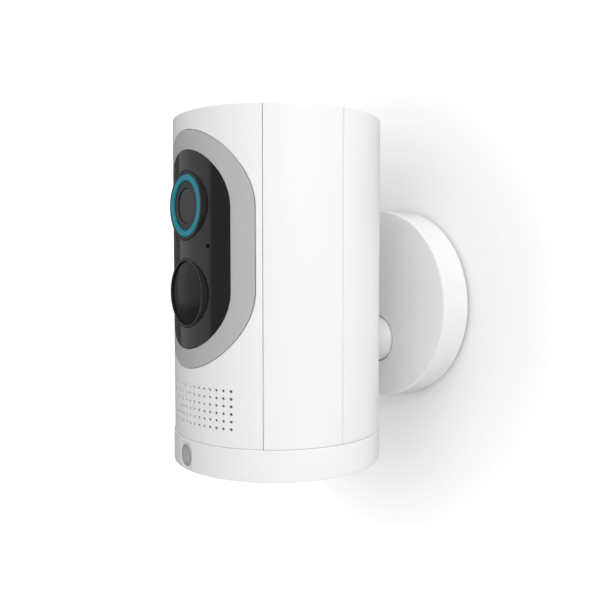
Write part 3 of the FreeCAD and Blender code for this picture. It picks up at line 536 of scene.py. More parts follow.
class Solid:
    """A closed mesh made of swept edges and filled faces on one surface."""

    def __init__(self, name: str, surface: Surface) -> None:
        """Starts an empty mesh.

        Args:
            name: the piece's name.
            surface: the face that it lies on.
        """
        self.name = name
        self.surface = surface
        self.points: list[Vector] = []
        self.faces: list[tuple[int, ...]] = []
        self.normals: list[list[Vector]] = []

    def _vertex(self, across: float, up: float, depth: float) -> int:
        """Adds a vertex and returns its number."""
        self.points.append(self.surface.point(across, up, depth) * MM)
        return len(self.points) - 1

    def _ring(self, loop: Loop, station: Station, roll: float) -> Ring:
        """Adds one row of vertices round a loop.

        Args:
            loop: the outline.
            station: the point of the section that the row follows.
            roll: how deep the rounded edge goes, where the loop's growth counts.

        Returns:
            The row.
        """
        flat = loop.moved(station.away)
        grow = loop.growth if station.depth <= roll else np.ones(len(flat))
        if np.ptp(flat, axis=0).max() < 1e-9:
            number = self._vertex(*flat[0], station.depth)
            return Ring([number] * len(flat), flat, station.depth)
        numbers = [self._vertex(*spot, station.depth * wide) for spot, wide in zip(flat, grow)]
        return Ring(numbers, flat, station.depth)

    def sweep(
        self, loop: Loop, corners: Sequence[Corner], closed: bool = False
    ) -> tuple[Ring, Ring]:
        """Sweeps an edge's section round a loop.

        Args:
            loop: the outline.
            corners: the section's corners, as section() takes them.
            closed: True for a ring's whole section.

        Returns:
            The first and the last row.
        """
        stations = section(corners, closed)
        roll = max(corner[2] for corner in corners) + 1e-6
        rings = [self._ring(loop, station, roll) for station in stations]
        pairs = list(zip(range(len(rings)), range(1, len(rings))))
        if closed:
            pairs.append((len(rings) - 1, 0))
        sideways = loop.away / np.linalg.norm(loop.away, axis=1, keepdims=True)
        directions = []
        for place, away in zip(loop.points, sideways):
            right, up, out = self.surface.axes(place[0])
            directions.append(((right * away[0] + up * away[1]).normalized(), out))
        count = len(loop.points)
        for low, high in pairs:
            first, second, front, back = rings[low], rings[high], stations[low], stations[high]
            run = Vector((front.away, front.depth)) - Vector((back.away, back.depth))
            if run.length < 1e-7:
                continue
            for index in range(count):
                following = (index + 1) % count
                spots = (
                    (first.numbers[index], index, front.after),
                    (second.numbers[index], index, back.before),
                    (second.numbers[following], following, back.before),
                    (first.numbers[following], following, front.after),
                )
                kept = [spot for order, spot in enumerate(spots) if spot[0] != spots[order - 1][0]]
                self.faces.append(tuple(spot[0] for spot in kept))
                self.normals.append([
                    (directions[where][0] * way.x + directions[where][1] * way.y).normalized()
                    for _, where, way in kept
                ])
        return rings[0], rings[-1]

    def fill(
        self, outer: Ring, holes: Sequence[Ring] = (), step: Point2 = FACE_STEP, back: bool = False
    ) -> None:
        """Fills the face inside a row, round its holes, with even triangles.

        Args:
            outer: the row round the face.
            holes: the rows of its holes.
            step: how far apart the added points are, across and up.
            back: True for the far side of the piece.
        """
        rings = [outer, *holes]
        loops = [ring.flat for ring in rings]
        flat = np.concatenate(loops)
        numbers = [number for ring in rings for number in ring.numbers]
        low, high = outer.flat.min(axis=0), outer.flat.max(axis=0)
        columns, rows = (
            np.linspace(start, end, max(2, math.ceil((end - start) / size) + 1))[1:-1]
            for start, end, size in zip(low, high, step)
        )
        grid = np.array([(across, up) for across in columns for up in rows]).reshape(-1, 2)
        if len(grid):
            gap = np.min(np.linalg.norm(grid[:, None] - flat[None], axis=2), axis=1)
            grid = grid[within(grid, loops) & (gap > 0.45 * step[0])]
        numbers += [self._vertex(*place, outer.depth) for place in grid]
        flat = np.concatenate([flat, grid.reshape(-1, 2)])
        edges, start = [], 0
        for ring in rings:
            size = len(ring.numbers)
            edges += [(start + index, start + (index + 1) % size) for index in range(size)]
            start += size
        places, _, triangles, origins, _, _ = delaunay_2d_cdt(
            [Vector(place) for place in flat], edges, [], 0, 1e-6
        )
        spots = np.array([tuple(place) for place in places])
        centres = np.array([spots[list(face)].mean(axis=0) for face in triangles])
        for face, kept in zip(triangles, within(centres, loops)):
            if not kept:
                continue
            corners = [origins[corner][0] for corner in face]
            if back:
                corners.reverse()
            side = -1 if back else 1
            self.faces.append(tuple(numbers[corner] for corner in corners))
            self.normals.append([self.surface.axes(flat[place][0])[2] * side for place in corners])

    def turn(
        self, spot: Point2, corners: Sequence[Corner], count: int = 128, ring: bool = False
    ) -> "Solid":
        """Adds a turned shape, about an axis that stands on the surface.

        Args:
            spot: the axis's place across and up the surface.
            corners: radius, depth and fillet of each corner, from the front outwards and back.
            count: points round it.
            ring: True if the section closes on itself and doesn't meet the axis.

        Returns:
            The same solid.
        """
        places = np.tile(spot, (count, 1)).astype(float)
        self.sweep(Loop(places, np.array(circle(1.0, count=count)), np.ones(count)), corners, ring)
        return self

    def smooth_along(self, limit_deg: float = 30.0) -> None:
        """Averages the directions at each vertex, so that a curve made of steps shades as one.

        Args:
            limit_deg: faces that meet at more than this keep their edge.
        """
        gathered: dict[int, list[Vector]] = {}
        for face, ways in zip(self.faces, self.normals):
            for number, way in zip(face, ways):
                gathered.setdefault(number, []).append(way)
        limit = math.cos(math.radians(limit_deg))
        for face, ways in zip(self.faces, self.normals):
            for place, number in enumerate(face):
                close = [way for way in gathered[number] if way.dot(ways[place]) > limit]
                ways[place] = sum(close, Vector()).normalized()

    def make(
        self, finish: Finish, stands_for: Sequence[str] = (), slot: str = "", body: str = "head"
    ) -> bpy.types.Object:
        """Makes the object, gives it its material and hands it to its body.

        Args:
            finish: the piece's material.
            stands_for: the CAD nodes that it replaces, which are hidden.
            slot: the record's material slot; not used.
            body: the CAD body that it rides on.

        Returns:
            The finished piece.
        """
        mesh = bpy.data.meshes.new(self.name)
        mesh.from_pydata([tuple(point) for point in self.points], [], self.faces)
        mesh.shade_smooth()
        mesh.normals_split_custom_set([tuple(way) for ways in self.normals for way in ways])
        mesh.materials.append(finish.material())
        mesh.update()
        piece = bpy.data.objects.new(self.name, mesh)
        bpy.context.scene.collection.objects.link(piece)
        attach(piece, body)
        if stands_for:
            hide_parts(*stands_for)
        log.info("%s: %d faces on %s", piece.name, len(mesh.polygons), body)
        return piece


def bore(thickness: float, rounding: float) -> list[Corner]:
    """Returns the section of a plate's edge, or of a plain hole, with its front edge rounded."""
    lip = rounding + 0.03
    return [(-lip, 0, 0), (0, 0, rounding), (0, thickness, 0), (-lip, thickness, 0)]


def slab(
    name: str,
    surface: Surface,
    edge: Loop,
    thickness: float,
    rounding: float,
    holes: Holes = (),
    step: Point2 = FACE_STEP,
) -> Solid:
    """Builds a plate that follows a surface, with a rounded edge.

    Args:
        name: the piece's name.
        surface: the face that it lies on.
        edge: its outline.
        thickness: how far it reaches back.
        rounding: radius of its front edge.
        holes: each hole's outline and its section.
        step: how far apart the points within its faces are.

    Returns:
        The closed solid.
    """
    solid = Solid(name, surface)
    rim = solid.sweep(edge, bore(thickness, rounding))
    rows = [solid.sweep(loop, corners) for loop, corners in holes]
    solid.fill(rim[0], [row[0] for row in rows], step)
    solid.fill(rim[1], [row[1] for row in rows], step, back=True)
    return solid


def dent(solid: Solid, rim: Ring, loop: Loop, depth: float, step: float) -> None:
    """Fills a plate's front round a blind hollow, and the hollow's floor.

    Args:
        solid: the plate.
        rim: the row round its front.
        loop: the hollow's outline, as a hole.
        depth: the depth of the hollow below the front.
        step: how far apart the points within its faces are.
    """
    floor = rim.depth + depth
    wall = solid.sweep(loop, [(0, rim.depth, 0), (0.12, floor, 0.05), (0.2, floor, 0)])
    solid.fill(rim, [wall[0]], (step, step))
    solid.fill(Ring(wall[1].numbers[::-1], wall[1].flat[::-1], floor), (), (step, step))


# ---- the object


def box_mm(node: str) -> tuple[Vector, Vector]:
    """Returns a node's lowest and highest corner, in millimetres."""
    low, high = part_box(node)
    return low / MM, high / MM


@dataclass(frozen=True)
class Layout:
    """Where the drum and the wall plate are, read from the frame."""

    axis: Vector
    radius: float
    plate_radius: float
    plate_face: float

    @classmethod
    def read(cls) -> "Layout":
        """Reads the layout from the frame's boxes.

        Returns:
            The layout.
        """
        band_low, band_high = box_mm("base_band")
        middle = (band_low + band_high) / 2
        cover_low, cover_high = box_mm("wall_cover")
        return cls(
            axis=Vector((middle.x, middle.y, band_low.z)),
            radius=box_mm("side_panel_right")[1].x - middle.x,
            plate_radius=(cover_high.x - cover_low.x) / 2,
            plate_face=-cover_low.y,
        )

    def front(self, distance: float) -> Flat:
        """Returns the upright plane that far in front of the drum's axis, seen from the front."""
        return Flat(self.axis - Y * distance, X, Z)

    def above(self, height: float) -> Flat:
        """Returns the level plane at a height over the drum's base, seen from above."""
        return Flat(self.axis + Z * height, X, Y)

    def below(self, node: str) -> Flat:
        """Returns the level plane at a node's underside, seen from below."""
        return Flat(self.axis + Z * (box_mm(node)[0].z - self.axis.z), X, -Y)

    def edges(self, node: str) -> tuple[float, float, float]:
        """Returns a node's right edge, and its lowest and highest over the drum's base."""
        low, high = box_mm(node)
        return high.x, low.z - self.axis.z, high.z - self.axis.z

    def height(self, node: str) -> float:
        """Returns the height of a node's middle over the drum's base."""
        low, high = box_mm(node)
        return (low.z + high.z) / 2 - self.axis.z


@dataclass(frozen=True)
class Casing:
    """The white shells, the lid, the band and its badge. Lengths are in millimetres."""

    layout: Layout
    wall: float = 2.0
    seam_gap: float = 0.1
    seat_drop: float = 0.22
    seam_rounding: float = 0.16
    top_growth: float = 3.6
    shell_corner: float = 0.25
    shell_step: float = 1.3
    front_half_deg: float = 49.0
    side_end_deg: float = 91.5
    grille_pitch: float = 2.0
    grille_radius: float = 0.4
    grille_rounding: float = 0.03
    hole_shade_depth: float = 0.45
    hole_shade_thickness: float = 0.2
    grille_columns: int = 17
    grille_rows: int = 6
    frame_gap: float = 0.1
    opening_rounding: float = 0.28
    opening_step: float = 1.4
    seat_radius: float = 5.0
    seat_depth: float = 1.0
    stud_radius: float = 3.0
    dish_depth: float = 0.35
    lid_lip: float = 1.9
    badge_radius: float = 2.9
    badge_rim: float = 0.8
    badge_thickness: float = 0.4
    badge_step: Point2 = (0.8, 0.8)
    band_rounding: float = 0.3

    def build(self) -> None:
        """Builds every piece of the casing."""
        self.front()
        self.side("side_panel_right", 1)
        self.side("side_panel_left", -1)
        self.rear()
        self.lid()
        self.band()

    def _shell(self, node: str, face: Drum, half: float, holes: Holes = ()) -> None:
        """Builds the shell that stands for a node, from the band up to the lid.

        Args:
            node: the CAD node that it replaces.
            face: the side of the drum that it lies on.
            half: half the distance between its two seams, in the face's unit.
            holes: each hole's outline and its section.
        """
        _, low, high = self.layout.edges("front_shell")
        half -= self.seam_gap / 2
        shape = rectangle(-half, half, low - self.seat_drop, high, self.shell_corner)
        edge = outline(shape, step=self.shell_step, top_growth=self.top_growth)
        shell = slab(f"{node}_skin", face, edge, self.wall, self.seam_rounding, holes)
        shell.make(WHITE_ABS, [node], "white_shell")

    def front(self) -> None:
        """Builds the front shell with the frame's opening and the speaker grille, whose holes hold
        grey cloth discs as painted shade.
        """
        face = Drum(self.layout.axis, self.layout.radius)
        right, low, high = self.layout.edges("bezel_trim")
        gap = self.frame_gap
        opening = outline(oblong(right + gap, low - gap, high + gap), True, self.opening_step)
        holes = [(opening, bore(self.wall, self.opening_rounding))]
        rise = (self.grille_rows - 1) / 2 * self.grille_pitch
        lowest = self.layout.height("speaker_gasket") - rise
        # Grey cloth discs just inside each grille hole: painted shade that makes the holes read as
        # dark dots.
        reach, back = self.grille_radius - 0.01, self.hole_shade_depth + self.hole_shade_thickness
        front = self.hole_shade_depth
        disc = [(0, front, 0), (reach, front, 0), (reach, back, 0), (0, back, 0)]
        cloth = Solid("grille_hole_shade_cloth", face)
        for column in range(self.grille_columns):
            across = (column - (self.grille_columns - 1) / 2) * self.grille_pitch
            for row in range(self.grille_rows):
                up = lowest + row * self.grille_pitch
                spot = outline(circle(self.grille_radius, across, up, 16), hole=True)
                holes.append((spot, bore(self.wall, self.grille_rounding)))
                cloth.turn((across, up), disc, 16)
        cloth.make(HOLE_SHADE_CLOTH)
        half = self.layout.radius * math.sin(math.radians(self.front_half_deg))
        self._shell("front_shell", face, half, holes)

    def side(self, node: str, sign: int) -> None:
        """Builds one side panel.

        Args:
            node: the CAD node that it replaces.
            sign: 1 for the right side, -1 for the left.
        """
        middle = sign * (self.front_half_deg + self.side_end_deg) / 2
        face = Drum(self.layout.axis, self.layout.radius, Across.ARC, middle)
        spread = math.radians(self.side_end_deg - self.front_half_deg)
        self._shell(node, face, self.layout.radius * spread / 2)

    def rear(self) -> None:
        """Builds the rear shell with the round seat that the ball's neck screws against."""
        face = Drum(self.layout.axis, self.layout.radius, Across.ARC, 180)
        seat = outline(circle(self.seat_radius, 0, self.layout.height("mount_stud"), 72), hole=True)
        floor = self.seat_radius - self.stud_radius
        corners = [
            (-0.3, 0, 0),
            (0, 0, 0.2),
            (0, self.seat_depth, 0.15),
            (floor, self.seat_depth, 0.1),
            (floor, self.wall, 0),
        ]
        half = self.layout.radius * math.radians(180 - self.side_end_deg)
        self._shell("rear_shell", face, half, [(seat, corners)])

    def lid(self) -> None:
        """Builds the lid: a shallow dish with a round shoulder, let in between the shells."""
        low, high = box_mm("top_cap")
        radius, depth = (high.x - low.x) / 2, high.z - low.z
        lid = Solid("lid", self.layout.above(high.z - self.layout.axis.z)).turn((0, 0), [
            (0, self.dish_depth, 0),
            (radius - self.lid_lip - 0.7, self.dish_depth, 1.5),
            (radius - self.lid_lip, 0, 0.8),
            (radius, 0, 0.4),
            (radius, depth, 0.1),
            (0, depth, 0),
        ], 160)
        lid.make(WHITE_ABS, ["top_cap"], "white_shell")

    def band(self) -> None:
        """Builds the bottom band with the badge in its recess."""
        radius, low, high = self.layout.edges("base_band")
        inner = self.layout.radius - self.wall
        depth = high - low
        solid = Solid("bottom_band", self.layout.above(depth)).turn((0, 0), [
            (inner, 0, 0),
            (radius, 0, 0.18),
            (radius, depth, self.band_rounding),
            (inner, depth, 0.3),
        ], 192, ring=True)
        piece = solid.make(WHITE_ABS, ["base_band"], "white_shell")
        pocket = self._disc("badge_pocket", radius + 1.0, self.badge_radius + 0.12, 1.45, 0.01)
        cutter = pocket.make(WHITE_ABS)
        carve = piece.modifiers.new("badge recess", "BOOLEAN")
        carve.operation = "DIFFERENCE"
        carve.solver = "EXACT"
        carve.object = cutter
        bpy.context.view_layer.update()
        carved = piece.evaluated_get(bpy.context.evaluated_depsgraph_get())
        mesh = bpy.data.meshes.new_from_object(carved)
        piece.modifiers.clear()
        piece.data = mesh
        bpy.data.objects.remove(cutter)
        mesh.shade_smooth()
        mesh.set_sharp_from_angle(angle=math.radians(28))
        inner = self.badge_radius - self.badge_rim
        face, depth = radius - 0.02, self.badge_thickness
        rim = self._disc("round_badge", face, self.badge_radius, depth, 0.1, inner + 0.02)
        rim.make(BADGE_ABS, ["front_badge"], "badge_grey")
        self._disc("badge_centre", radius - 0.1, inner, 0.3, 0.06).make(GREY_ABS, slot="grey_trim")

    def _disc(
        self, name: str, face: float, radius: float, depth: float, rounding: float, hole: float = 0
    ) -> Solid:
        """Builds a disc or a ring round the badge's middle that follows the drum.

        Args:
            name: the piece's name.
            face: how far its front lies from the drum's axis.
            radius: its radius.
            depth: how far it reaches back.
            rounding: radius of its front edge.
            hole: the radius of the hole in it, or 0.

        Returns:
            The closed solid.
        """
        up = self.layout.height("front_badge")
        holes = [(outline(circle(hole, 0, up, 64), True), bore(depth, 0.06))] if hole else []
        edge = outline(circle(radius, 0, up, 64))
        surface = Drum(self.layout.axis, face)
        return slab(name, surface, edge, depth, rounding, holes, self.badge_step)


@dataclass(frozen=True)
class Face:
    """The grey frame and the black window, with the lens and the motion sensor let into it."""

    layout: Layout
    wall: float = 2.0
    frame_thickness: float = 1.5
    turret_radius: float = 9.4
    ring_outer: float = 8.45
    ring_inner: float = 6.75
    ring_proud: float = 0.12
    ring_depth: float = 1.5
    lens_face: float = 0.3
    cover_radius: float = 4.7
    cover_depth: float = 0.55
    cover_seat: float = 1.7
    ledge: float = 0.8
    ledge_back: float = 2.3
    barrel_radius: float = 5.0
    turret_depth: float = 6.0
    mic_radius: float = 0.55
    rim: float = 0.72
    dome_radius: float = 8.6
    dome_edge_depth: float = 0.45
    dome_rise: float = 1.05
    dome_wall: float = 1.2
    dome_seat: float = 1.5
    dome_steps: int = 18
    fit: float = 0.05

    def build(self) -> None:
        """Builds every piece of the face."""
        self.window()
        self.grey_frame()
        self.lens()
        self.motion_sensor()

    def grey_frame(self) -> None:
        """Builds the oblong grey frame."""
        edge = outline(oblong(*self.layout.edges("bezel_trim")), step=1.4)
        right, low, high = self.layout.edges("face_window")
        opening = oblong(right + self.fit, low - self.fit, high + self.fit)
        hole = (outline(opening, hole=True, step=1.4), bore(self.frame_thickness, 0.08))
        face = Drum(self.layout.axis, self.layout.radius)
        frame_piece = slab("grey_frame", face, edge, self.frame_thickness, 0.12, [hole])
        frame_piece.make(GREY_ABS, ["bezel_trim"], "grey_trim")

    def window(self) -> None:
        """Builds the black window with the holes of both turrets and the microphone."""
        edge = outline(oblong(*self.layout.edges("face_window")), step=1.2)
        mic_low, mic_high = box_mm("mic_boot")
        mic = (mic_low.x + mic_high.x) / 2
        spots = [
            (circle(self.turret_radius + self.fit, 0, self.layout.height(node)), 0.06)
            for node in ("lens_turret", "pir_bezel")
        ]
        spots.append((circle(self.mic_radius, mic, self.layout.height("mic_boot"), 24), 0.1))
        holes = [(outline(spot, hole=True), bore(self.wall, edging)) for spot, edging in spots]
        face = Drum(self.layout.axis, self.layout.radius)
        window = slab("black_window", face, edge, self.wall, 0.15, holes, (1.0, 1.6))
        window.make(BLACK_WINDOW, ["face_window"], "black_window")

    def lens(self) -> None:
        """Builds the lens turret, the light ring and the cover glass."""
        plane = self.layout.front(self.layout.radius)
        spot = (0, self.layout.height("lens_turret"))
        seat, face = self.cover_radius + self.fit, self.lens_face
        bore_radius, ledge = self.barrel_radius + self.fit, self.cover_radius - self.ledge
        inner, outer = self.ring_inner - self.fit, self.ring_outer + self.fit
        floor = self.ring_depth + 0.1
        turret = [
            (bore_radius, self.ledge_back, 0),
            (ledge, self.ledge_back, 0),
            (ledge, self.cover_seat, 0.05),
            (seat, self.cover_seat, 0),
            (seat, face, 0.08),
            (inner, face, 0.1),
            (inner, floor, 0),
            (outer, floor, 0),
            (outer, 0.02, 0.06),
            (self.turret_radius, 0.02, 0.32),
            (self.turret_radius, self.turret_depth, 0.1),
            (bore_radius, self.turret_depth, 0),
        ]
        solid = Solid("lens_turret_ring", plane).turn(spot, turret, ring=True)
        solid.make(BLACK_ABS, ["lens_turret"], "black_trim")
        bead = [
            (self.ring_inner, -self.ring_proud, 0.25),
            (self.ring_outer, -self.ring_proud, 0.35),
            (self.ring_outer, self.ring_depth, 0.1),
            (self.ring_inner, self.ring_depth, 0.1),
        ]
        solid = Solid("light_ring", plane).turn(spot, bead, ring=True)
        solid.make(TEAL_ACRYLIC, ["status_ring"], "teal_ring")
        back = self.cover_seat - 0.02
        cover = [
            (0, self.cover_depth, 0),
            (self.cover_radius, self.cover_depth, 0.1),
            (self.cover_radius, back, 0.05),
            (0, back, 0),
        ]
        solid = Solid("lens_cover_glass", plane).turn(spot, cover)
        solid.make(COVER_GLASS, ["lens_window"], "lens_glass")

    def motion_sensor(self) -> None:
        """Builds the rim and the dome of the motion sensor."""
        plane = self.layout.front(self.layout.radius)
        spot = (0, self.layout.height("pir_bezel"))
        seat = self.dome_edge_depth + self.dome_wall + 0.1
        inner, ledge = self.turret_radius - self.rim, self.dome_radius - self.dome_seat
        rim = [
            (inner, 0.0, 0.12),
            (self.turret_radius, 0.0, 0.22),
            (self.turret_radius, self.turret_depth, 0.1),
            (ledge, self.turret_depth, 0),
            (ledge, seat, 0.05),
            (inner, seat, 0),
        ]
        solid = Solid("motion_sensor_rim", plane).turn(spot, rim, ring=True)
        solid.make(BLACK_ABS, ["pir_bezel"], "black_trim")
        bulge = (self.dome_radius**2 + self.dome_rise**2) / (2 * self.dome_rise)
        centre = self.dome_edge_depth - self.dome_rise + bulge
        radii = [self.dome_radius * step / self.dome_steps for step in range(self.dome_steps + 1)]
        outer = [(radius, centre - math.sqrt(bulge**2 - radius**2), 0.0) for radius in radii]
        wall = self.dome_wall
        back = [(radius * 0.985, depth + wall, 0.0) for radius, depth, _ in reversed(outer)]
        dome = Solid("motion_sensor_dome", plane).turn(spot, [*outer, *back])
        dome.smooth_along()
        dome.make(DARK_POLYETHYLENE, ["pir_dome"], "pir_lens")


@dataclass(frozen=True)
class Underside:
    """The bottom cap with its flap, its button and its screws."""

    layout: Layout
    gap: float = 0.3
    screw_head: float = 2.0
    screw_shank: float = 1.0
    screw_proud: float = 0.02
    recess: float = 2.2
    recess_depth: float = 0.6
    collar: float = 0.8
    collar_height: float = 0.7
    dish_depth: float = 0.28
    room_depth: float = 1.5
    plug_hole: Point2 = (4.6, 2.1)
    reset_hole: float = 1.5
    finger_lip: Point2 = (3.2, 1.1)
    lip_setback: float = 2.4
    lip_depth: float = 0.4

    def build(self) -> None:
        """Builds the pieces that show from below."""
        self.cap()
        self.flap()
        self.button()
        self.screws()

    def _flat(self, node: str) -> tuple[float, float, float, float, float]:
        """Returns a node's left, right, low and high edge from below, and its thickness."""
        low, high = (corner - self.layout.axis for corner in box_mm(node))
        return low.x, high.x, -high.y, -low.y, high.z - low.z

    def _screws(self) -> list[Point2]:
        """Finds the four screws.

        Returns:
            Their places as seen from below.
        """
        left, right, *_ = self._flat("bottom_screws")
        reach = (right - left) / 2 - self.screw_head
        return [(side * reach, turn * reach) for side in (-1, 1) for turn in (-1, 1)]

    def cap(self) -> None:
        """Builds the bottom cap, with a room for the flap and holes for buttons and screws."""
        left, right, _, _, thickness = self._flat("bottom_cap")
        solid = Solid("bottom_cap_plate", self.layout.below("bottom_cap"))
        rim = solid.sweep(outline(circle((right - left) / 2, count=160)), bore(thickness, 0.2))
        left, right, low, high, _ = self._flat("port_cover")
        gap, depth = self.gap, self.room_depth
        room = solid.sweep(
            outline(rectangle(left - gap, right + gap, low - gap, high + gap, 1.1), True, 2.0),
            [(-0.15, 0, 0), (0, 0, 0.12), (0, depth, 0.1), (0.2, depth, 0)],
        )
        left, right, low, high, _ = self._flat("reset_button")
        up = (low + high) / 2
        wide, tall = self.plug_hole
        inside = [solid.sweep(loop, [(0, depth, 0), (0, thickness, 0)]) for loop in (
            outline(rectangle(-wide, wide, up - tall, up + tall, 0.8), True, 1.0),
            outline(circle(self.reset_hole, (left + right) / 2, up, 40), True),
        )]
        left, right, low, high, _ = self._flat("power_button")
        button = circle((right - left) / 2 - self.collar + gap, 0, (low + high) / 2, 64)
        through = [solid.sweep(outline(button, True), bore(thickness, 0.12))]
        shank = self.screw_head - self.screw_shank
        sink = [(-0.1, 0, 0), (0, 0, 0.05), (shank, shank, 0), (shank, thickness, 0)]
        for across, up in self._screws():
            head = circle(self.screw_head + 0.05, across, up, 32)
            through.append(solid.sweep(outline(head, True), sink))
        step = (2.4, 2.4)
        solid.fill(rim[0], [room[0], *(rows[0] for rows in through)], step)
        solid.fill(room[1], [rows[0] for rows in inside], step)
        solid.fill(rim[1], [rows[1] for rows in (*through, *inside)], step, back=True)
        solid.make(WHITE_ABS, ["bottom_cap"], "white_shell")

    def screws(self) -> None:
        """Builds the four countersunk screws with their cross recesses."""
        *_, length = self._flat("bottom_screws")
        solid = Solid("countersunk_screws", self.layout.below("bottom_screws"))
        half, arm = self.recess / 5, self.recess / 2
        points = []
        for turn in range(4):
            swing = Matrix.Rotation(math.pi / 2 * turn, 2)
            points += [swing @ Vector(spot) for spot in ((arm, -half), (arm, half), (half, half))]
        taper, top = self.screw_head - self.screw_shank, self.screw_proud
        for across, up in self._screws():
            cross = [(place.x + across, place.y + up) for place in points]
            rim = solid.sweep(outline(circle(self.screw_head, across, up, 40)), [
                (-0.12, top, 0),
                (0, top, 0.06),
                (-taper, taper, 0),
                (-taper, length, 0.2),
                (-taper - 0.3, length, 0),
            ])
            dent(solid, rim[0], outline(cross, True, 0.4), self.recess_depth, 0.5)
            solid.fill(rim[1], (), (0.5, 0.5), back=True)
        solid.make(ZINC_STEEL, ["bottom_screws"], "plated_steel")

    def flap(self) -> None:
        """Builds the silicone flap over the charging socket, with a finger lip."""
        left, right, low, high, thickness = self._flat("port_cover")
        solid = Solid("charging_flap", self.layout.below("port_cover"))
        rim = solid.sweep(
            outline(rectangle(left, right, low, high, 0.9), step=1.5),
            [(-0.4, 0, 0), (0, 0, 0.3), (0, thickness, 0.2), (-0.4, thickness, 0)],
        )
        half, tall = self.finger_lip
        lip_low = high - self.lip_setback
        lip = outline(rectangle(-half, half, lip_low, lip_low + tall, 0.5), True, 0.8)
        dent(solid, rim[0], lip, self.lip_depth, 1.2)
        solid.fill(rim[1], (), (1.5, 1.5), back=True)
        solid.make(GREY_SILICONE, ["port_cover"], "grey_rubber", "port_cover")

    def button(self) -> None:
        """Builds the power button with a shallow dish for the fingertip."""
        left, right, low, high, depth = self._flat("power_button")
        collar = (right - left) / 2
        radius = collar - self.collar
        step = depth - self.collar_height
        button = Solid("power_button_pad", self.layout.below("power_button"))
        button.turn((0, (low + high) / 2), [
            (0, self.dish_depth, 0),
            (radius - 1.0, self.dish_depth, 1.6),
            (radius - 0.4, 0.02, 0.3),
            (radius, 0.02, 0.25),
            (radius, step, 0),
            (collar, step, 0.1),
            (collar, depth, 0.1),
            (0, depth, 0),
        ], 64)
        button.make(GREY_SILICONE, ["power_button"], "grey_rubber", "power_button")


@dataclass(frozen=True)
class WallPlate:
    """The round cover on the wall and the ball that looks out of it."""

    layout: Layout
    wall: float = 1.8
    edge_rounding: float = 0.7
    shadow_gap: float = 0.3
    lip_gap: float = 0.4
    ball_radius: float = 7.7
    ball_behind_face: float = 3.0
    ball_steps: int = 26
    neck_radius: float = 3.4
    collar: Point2 = (1.0, 1.4)

    def build(self) -> None:
        """Builds the cover and the ball."""
        self.cover()
        self.ball()

    def _ball_height(self) -> float:
        """Returns the height of the ball's centre in the row frame."""
        low, high = box_mm("mount_stud")
        return (low.z + high.z) / 2

    def cover(self) -> None:
        """Builds the cover as one cup with a rounded edge and the ball's opening."""
        low, high = box_mm("wall_cover")
        depth = high.y - low.y - self.shadow_gap
        wide = self.ball_radius + self.lip_gap
        mouth = math.sqrt(wide**2 - self.ball_behind_face**2)
        slope = mouth - math.sqrt(wide**2 - (self.ball_behind_face - self.wall) ** 2)
        wall = self.wall
        solid = Solid("wall_cover_cup", Flat(Y * low.y, X, Z))
        rim = solid.sweep(outline(circle(self.layout.plate_radius, count=192)), [
            (-self.edge_rounding - 0.05, 0, 0),
            (0, 0, self.edge_rounding),
            (0, depth, 0.3),
            (-wall, depth, 0.2),
            (-wall, wall, 0.5),
            (-wall - 0.8, wall, 0),
        ])
        lip = solid.sweep(
            outline(circle(mouth, 0, self._ball_height()), hole=True),
            [(-0.25, 0, 0), (0, 0, 0.15), (slope, wall, 0), (slope - 0.2, wall, 0)],
        )
        solid.fill(rim[0], [lip[0]], (3.0, 3.0))
        solid.fill(rim[1], [lip[1]], (3.0, 3.0), back=True)
        solid.make(WHITE_ABS, ["wall_cover"], "white_shell", "wall_mount")

    def ball(self) -> None:
        """Builds the ball, its neck and the collar in the drum's seat as one turned piece."""
        centre = self.layout.plate_face - self.ball_behind_face
        front = centre + box_mm("mount_ball")[0].y
        meet = math.asin(self.neck_radius / self.ball_radius)
        wide, tall = self.collar
        collar = self.neck_radius + wide
        corners: list[Corner] = [
            (0, front, 0),
            (collar, front, 0.2),
            (collar, front + tall, 0.25),
            (self.neck_radius, front + tall, 0.35),
            (self.neck_radius, -self.ball_radius * math.cos(meet) - 0.2, 0),
        ]
        for step in range(1, self.ball_steps + 1):
            turn = meet + (math.pi - meet) * step / self.ball_steps
            radius = self.ball_radius
            corners.append((radius * math.sin(turn), -radius * math.cos(turn), 0))
        ball = Solid("white_ball", Flat(Y * -centre, X, Z)).turn((0, self._ball_height()), corners)
        ball.smooth_along()
        ball.make(WHITE_ACETAL, ["mount_ball"], "white_ball", "ball")


@dataclass(frozen=True)
class Contents:
    """What keeps its CAD shape: the working parts inside, and the small ones that show."""

    def build(self) -> None:
        """Gives every node that no piece stands for a finished material."""
        for finish, nodes in (
            (BLACK_ABS, ("lens_barrel", "reset_switch", "power_switch", "image_sensor")),
            (COATED_GLASS, ("lens_element", "ir_filter", "infrared_leds")),
            (DARK_ABS, ("lens_holder", "chassis_sleeve", "mount_block", "battery_cradle")),
            (DARK_ABS, ("ball_socket", "friction_ring")),
            (GREEN_BOARD, ("camera_board", "pir_board", "main_board", "port_board", "antenna")),
            (BLACK_RUBBER, ("mic_boot", "speaker_gasket", "seal_ring_bottom", "seal_ring_top")),
            (ZINC_STEEL, ("pir_sensor", "microphone", "rf_shield", "usb_socket", "card_slot")),
            (ZINC_STEEL, ("speaker", "wall_bracket", "socket_screws", "mount_stud")),
            (BRASS, ("threaded_insert", "battery_contacts")),
            (BLUE_WRAP, ("battery_cell_left", "battery_cell_right")),
            (WHITE_ABS, ("reset_button",)),
        ):
            for name in nodes:
                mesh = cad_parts[name].data
                mesh.materials.clear()
                mesh.materials.append(finish.material())
                log.info("%s: dressed in %s", name, finish.name)


# ---- the studio


